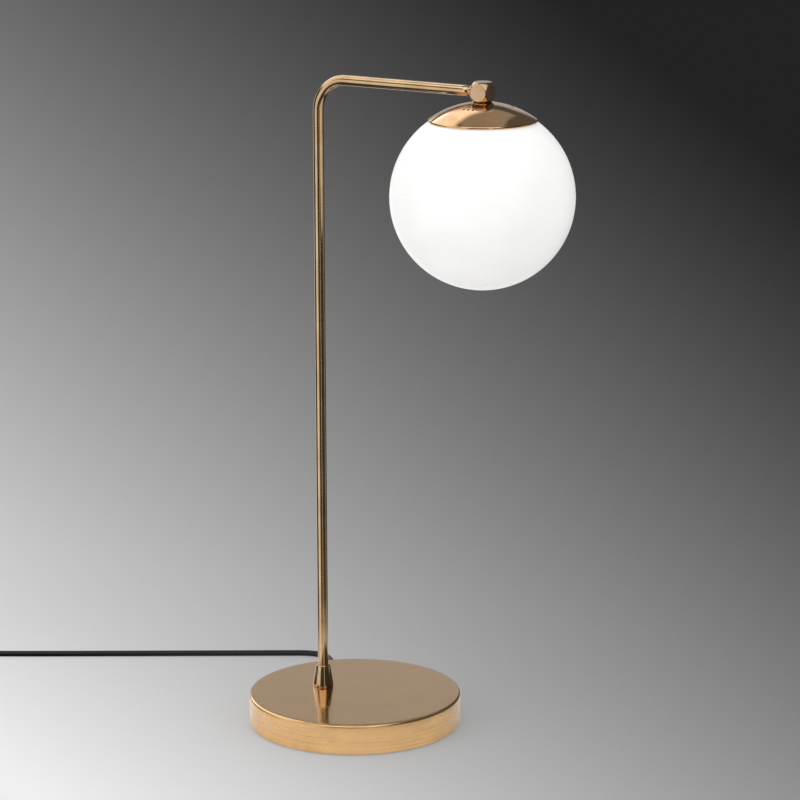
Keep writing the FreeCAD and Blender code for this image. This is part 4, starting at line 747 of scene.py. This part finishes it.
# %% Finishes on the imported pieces
dressed = 0
for part in frame["record"]["subparts"]:
    piece = nodes[part["node"]]
    piece.data.materials.clear()
    piece.data.materials.append(finishes[part["material_slot"]])
    dressed += 1
print("packed pieces dressed:", dressed, "of", len(nodes))

# %% [markdown]
# ## Floor and backdrop
# The photograph's backdrop is a plain grey sweep, pale at the lower left and dark at the upper
# right where the light falls off. The world shows that slope to the camera, by direction, and a
# sheet of paper under the lamp carries the same tones as painted light and shade, and takes its
# shadow. One curved sweep could do both, but from behind it would hide the lamp. The paper
# fades out away from the lamp, so no edge shows.

# %% Backdrop slope
# Tone over 255, at the picture's middle and its slopes to the right and down, per pixel.
TONE_MIDDLE, TONE_RIGHT, TONE_DOWN, TONE_LOW, TONE_HIGH = 126, -0.127, 0.176, 35, 240


def dot(tree, way, direction):
    """The way's part along this direction."""
    made = add(tree, "VectorMath", {0: way, 1: direction}, operation="DOT_PRODUCT")
    return made.outputs["Value"]


def worked(tree, operation, *feeds):
    """One step of arithmetic on numbers or on other nodes' outputs."""
    return add(tree, "Math", dict(enumerate(feeds)), operation=operation).outputs[0]


world = bpy.data.worlds.new("studio")
bpy.context.scene.world = world
world.use_nodes = True
tree = world.node_tree
tree.nodes.clear()
slope = (right * TONE_RIGHT - up * TONE_DOWN) * FOCAL_PX / 255
way = add(tree, "TexCoord").outputs["Generated"]
tone = between(tree, dot(tree, way, slope), TONE_LOW / 255, TONE_HIGH / 255,
               (TONE_LOW - TONE_MIDDLE) / 255, (TONE_HIGH - TONE_MIDDLE) / 255)
share = worked(tree, "DIVIDE", worked(tree, "ADD", tone, 0.055), 1.055)
shown = worked(tree, "POWER", share, 2.4)
# The slope belongs to the photograph's view; away from it the backdrop is an even pale grey.
PLAIN, SLOPE_ENDS, SLOPE_FULL = 0.62, math.radians(28), math.radians(12)
in_view = between(tree, dot(tree, way, ahead), 0.0, 1.0,
                  math.cos(SLOPE_ENDS), math.cos(SLOPE_FULL))
plain = add(tree, "Mix", {0: in_view, 2: PLAIN, 3: shown}, data_type="FLOAT").outputs[0]
backdrop = add(tree, "Background", {"Color": plain, "Strength": 1.0})
print("backdrop tones:", TONE_LOW, "to", TONE_HIGH)

# %% [markdown]
# ## Light
# The lamp stands in soft, even light. Polished metal shows its surroundings, so these count as
# much as the lamps: a pale screen at the left, panels overhead and in front, the grey sweep
# behind, and a dark room between them. They could be glowing planes, which get in the way of
# other views, so they are drawn in the world, with soft edges, and only reflections show them.

# %% Surroundings
to_camera = Vector((eye.x, eye.y, 0)).normalized()
to_left = -Vector((level_right.x, level_right.y, 0)).normalized()
ROOM = 0.06
# Each has the heading to the left of the camera and the height of its middle, half its width
# and height, its soft edge, all in degrees, and its strength.
PANELS = {"screen at the left": (58, -6, 24, 22, 10, 1.05),
          "panel overhead": (183, 63, 17, 24, 2.5, 0.24),
          "grey wall behind": (190, 45, 50, 42, 14, 0.07),
          "lamp high in front": (8, 52, 36, 26, 6, 1.4),
          "lamp high at the left": (122, 38, 40, 22, 6, 1.3),
          "window behind at the left": (158, 24, 6, 6, 3, 1.2),
          "sweep behind": (180, 14, 16, 10, 6, 0.38),
          "strip in front": (-15, 0, 4, 26, 4, 0.7),
          "sheet at the right": (-100, -14, 10, 16, 10, 0.3)}


def panel_share(tree, way, heading, height, half_wide, half_high, soft):
    """1 inside the panel, 0 outside: the way's part along the panel's width and along its
    height are each compared with the sines of its half sizes."""
    heading, height = math.radians(heading), math.radians(height)
    level = to_camera * math.cos(heading) + to_left * math.sin(heading)
    middle = level * math.cos(height) + Vector((0, 0, math.sin(height)))
    width_way = Vector((0, 0, 1)).cross(level)
    share = None
    for along, half in ((width_way, half_wide), (middle.cross(width_way), half_high)):
        off = worked(tree, "ABSOLUTE", dot(tree, way, along))
        inside = between(tree, off, 1.0, 0.0, math.sin(math.radians(half - soft / 2)),
                         math.sin(math.radians(half + soft / 2)))
        share = inside if share is None else worked(tree, "MULTIPLY", share, inside)
    on_this_side = worked(tree, "GREATER_THAN", dot(tree, way, middle), 0.0)
    return worked(tree, "MULTIPLY", share, on_this_side)


print("panels:", len(PANELS))

# %% World
# EVEN is the soft light's strength. The sweep behind shows in reflections where a direction's
# part along the camera's level line of sight passes from BEHIND_FROM to BEHIND_TO.
EVEN, BEHIND_FROM, BEHIND_TO = 0.64, 0.6, 0.9

ahead_level = Vector((ahead.x, ahead.y, 0)).normalized()
behind = between(tree, dot(tree, way, ahead_level), 0.0, 1.0, BEHIND_FROM, BEHIND_TO)
glow = add(tree, "Mix", {0: behind, 2: ROOM, 3: shown}, data_type="FLOAT").outputs[0]
for *panel, strength in PANELS.values():
    glow = worked(tree, "MULTIPLY_ADD", panel_share(tree, way, *panel), strength, glow)
path = add(tree, "LightPath").outputs
# The panels are for the metal's reflections; the soft light on glass and paper is even.
around = add(tree, "Mix", {0: path["Is Glossy Ray"], 2: EVEN, 3: glow},
             data_type="FLOAT").outputs[0]
studio = add(tree, "Background", {"Color": around, "Strength": 1.0})
seen = worked(tree, "MAXIMUM", path["Is Camera Ray"], path["Is Transmission Ray"])
mixed = add(tree, "MixShader", {0: seen, 1: studio.outputs[0], 2: backdrop.outputs[0]})
add(tree, "OutputWorld", {"Surface": mixed.outputs[0]})
print("world nodes:", len(tree.nodes))


# %% Lamps
def soft_lamp(name, place, target, wide, high, watts):
    """A rectangular soft lamp, in metres, that shines at the target. The metal doesn't mirror
    it, because the panels above stand for what it would show."""
    lamp = bpy.data.lights.new(name, "AREA")
    lamp.shape, lamp.size, lamp.size_y, lamp.energy = "RECTANGLE", wide, high, watts
    shown_lamp = bpy.data.objects.new(name, lamp)
    bpy.context.scene.collection.objects.link(shown_lamp)
    aim = Vector(target) - Vector(place)
    turn_to = aim.to_track_quat("-Z", "Y").to_matrix().to_4x4()
    shown_lamp.matrix_world = Matrix.Translation(place) @ turn_to
    shown_lamp.visible_camera = shown_lamp.visible_glossy = False


lamp_middle = Vector((0.04, 0, 0.3))
soft_lamp("left softbox", lamp_middle + to_left * 1.6 + to_camera * 1.2 + Vector((0, 0, 0.7)),
          lamp_middle, 1.2, 1.6, 15)
soft_lamp("right softbox", lamp_middle - to_left * 1.5 + to_camera * 1.4 + Vector((0, 0, 0.6)),
          lamp_middle, 1.2, 1.6, 9)
soft_lamp("overhead softbox", lamp_middle + to_camera * 0.2 + Vector((0, 0, 1.5)), lamp_middle,
          1.6, 1.6, 8)
print("lamps:", 3)

# %% [markdown]
# The paper's tones, a painted fall of light, are worked out from where each of its points
# appears in the photograph, and are kept on the points, so that they stay in place when the
# paper is seen from elsewhere.

# %% Tones on the floor
PAPER_MIDDLE, PAPER_HALF, PAPER_CELLS = (-0.21, -0.02), 0.78, 130
VIEW_HALF_PX, VIEW_FADE_PX = 420, 260

across, along = (k.ravel() for k in np.meshgrid(
    *[np.linspace(c - PAPER_HALF, c + PAPER_HALF, PAPER_CELLS + 1) for c in PAPER_MIDDLE],
    indexing="ij"))
spots = np.stack([across, along, np.zeros_like(across)], 1)
sight = spots - np.array(eye)
depth = np.maximum(sight @ np.array(ahead), 0.5)
pixel_right = FOCAL_PX * (sight @ np.array(right)) / depth
pixel_down = -FOCAL_PX * (sight @ np.array(up)) / depth
tone = np.clip(TONE_MIDDLE + TONE_RIGHT * pixel_right + TONE_DOWN * pixel_down,
               TONE_LOW, TONE_HIGH) / 255
outside = np.clip((np.maximum(abs(pixel_right), abs(pixel_down)) - VIEW_HALF_PX) / VIEW_FADE_PX,
                  0, 1)
# The paper's tone is a painted fall of light: pale at the lower left, dark at the upper right.
paper_painted_falloff = ((tone + 0.055) / 1.055) ** 2.4 * (1 - outside) + PLAIN * outside
print("paper tones:", round(float(paper_painted_falloff.min()), 2), "to", round(float(paper_painted_falloff.max()), 2))

# %% Floor
# The paper's solid part follows the line from under the globe to the put-away cord. In
# reflections it ends like a table, nearer to the lamp.
LINE_START, LINE_WAY = np.array((0.08, 0.03)), np.array((-0.63, -0.08))
FADE_FROM, FADE_TO, TABLE_FROM, TABLE_TO = 0.14, 0.32, 0.14, 0.32

from_start = spots[:, :2] - LINE_START
nearest = np.clip(from_start @ LINE_WAY / (LINE_WAY @ LINE_WAY), 0, 1)
from_line = np.linalg.norm(from_start - nearest[:, None] * LINE_WAY, axis=1)
from_lamp = np.hypot(across, along)
solid_share, near_share = (np.clip((end - distance) / (end - start), 0, 1)
                           for distance, start, end in ((from_line, FADE_FROM, FADE_TO),
                                                        (from_lamp, TABLE_FROM, TABLE_TO)))
sheet = bpy.data.meshes.new("paper")
sheet.from_pydata(spots.tolist(), [], grid_faces(PAPER_CELLS + 1, PAPER_CELLS + 1, False,
                                                 False)[:, ::-1].tolist())
for name, values in (("tone", paper_painted_falloff), ("solid", solid_share), ("near", near_share)):
    layer = sheet.attributes.new(name, "FLOAT", "POINT")
    layer.data.foreach_set("value", values.astype(np.float32))
paper = bpy.data.objects.new("paper", sheet)
bpy.context.scene.collection.objects.link(paper)
print("paper:", len(spots), "points")

# %% Paper
# To the camera the paper has the photograph's tone, a painted fall of light. To other rays, as
# in the metal's reflections, it is paler: a painted brightness that stands for light on the
# paper. Part of the tone is a painted glow, an emission only the camera sees, so that the slope
# stays even; the lit share and the glow together make WHOLE_SHARE of the tone.
PAINTED_PALER, LIT_SHARE, WHOLE_SHARE = 1.95, 0.4, 0.97
paper_material, tree, shader = started("backdrop paper, painted falloff and glow", roughness=0.9, specular_ior_level=0.1,
                                       emission_strength=WHOLE_SHARE - LIT_SHARE)
toned = add(tree, "Attribute", attribute_name="tone").outputs["Fac"]
seen = add(tree, "LightPath").outputs["Is Camera Ray"]
lit = worked(tree, "MULTIPLY", toned, LIT_SHARE)
# Paler for every ray but the camera's: a painted brightness for the light on the paper.
pale = worked(tree, "MINIMUM", worked(tree, "MULTIPLY", toned, PAINTED_PALER), 1.0)
base = add(tree, "Mix", {0: seen, 2: pale, 3: lit}, data_type="FLOAT").outputs[0]
# A painted glow: the tone as emission, seen only by the camera.
painted_glow = worked(tree, "MULTIPLY", toned, seen)
tree.links.new(base, shader.inputs["Base Color"])
tree.links.new(painted_glow, shader.inputs["Emission Color"])
clear = add(tree, "BsdfTransparent")
mirrored = add(tree, "LightPath").outputs["Is Glossy Ray"]
solid, near = (add(tree, "Attribute", attribute_name=name).outputs["Fac"]
               for name in ("solid", "near"))
share = add(tree, "Mix", {0: mirrored, 2: solid, 3: near}, data_type="FLOAT").outputs[0]
faded = add(tree, "MixShader", {0: share, 1: clear.outputs[0], 2: shader.outputs[0]})
tree.links.new(faded.outputs[0], tree.nodes["Material Output"].inputs["Surface"])
paper.data.materials.append(paper_material)
print("on the floor:", paper_material.name)
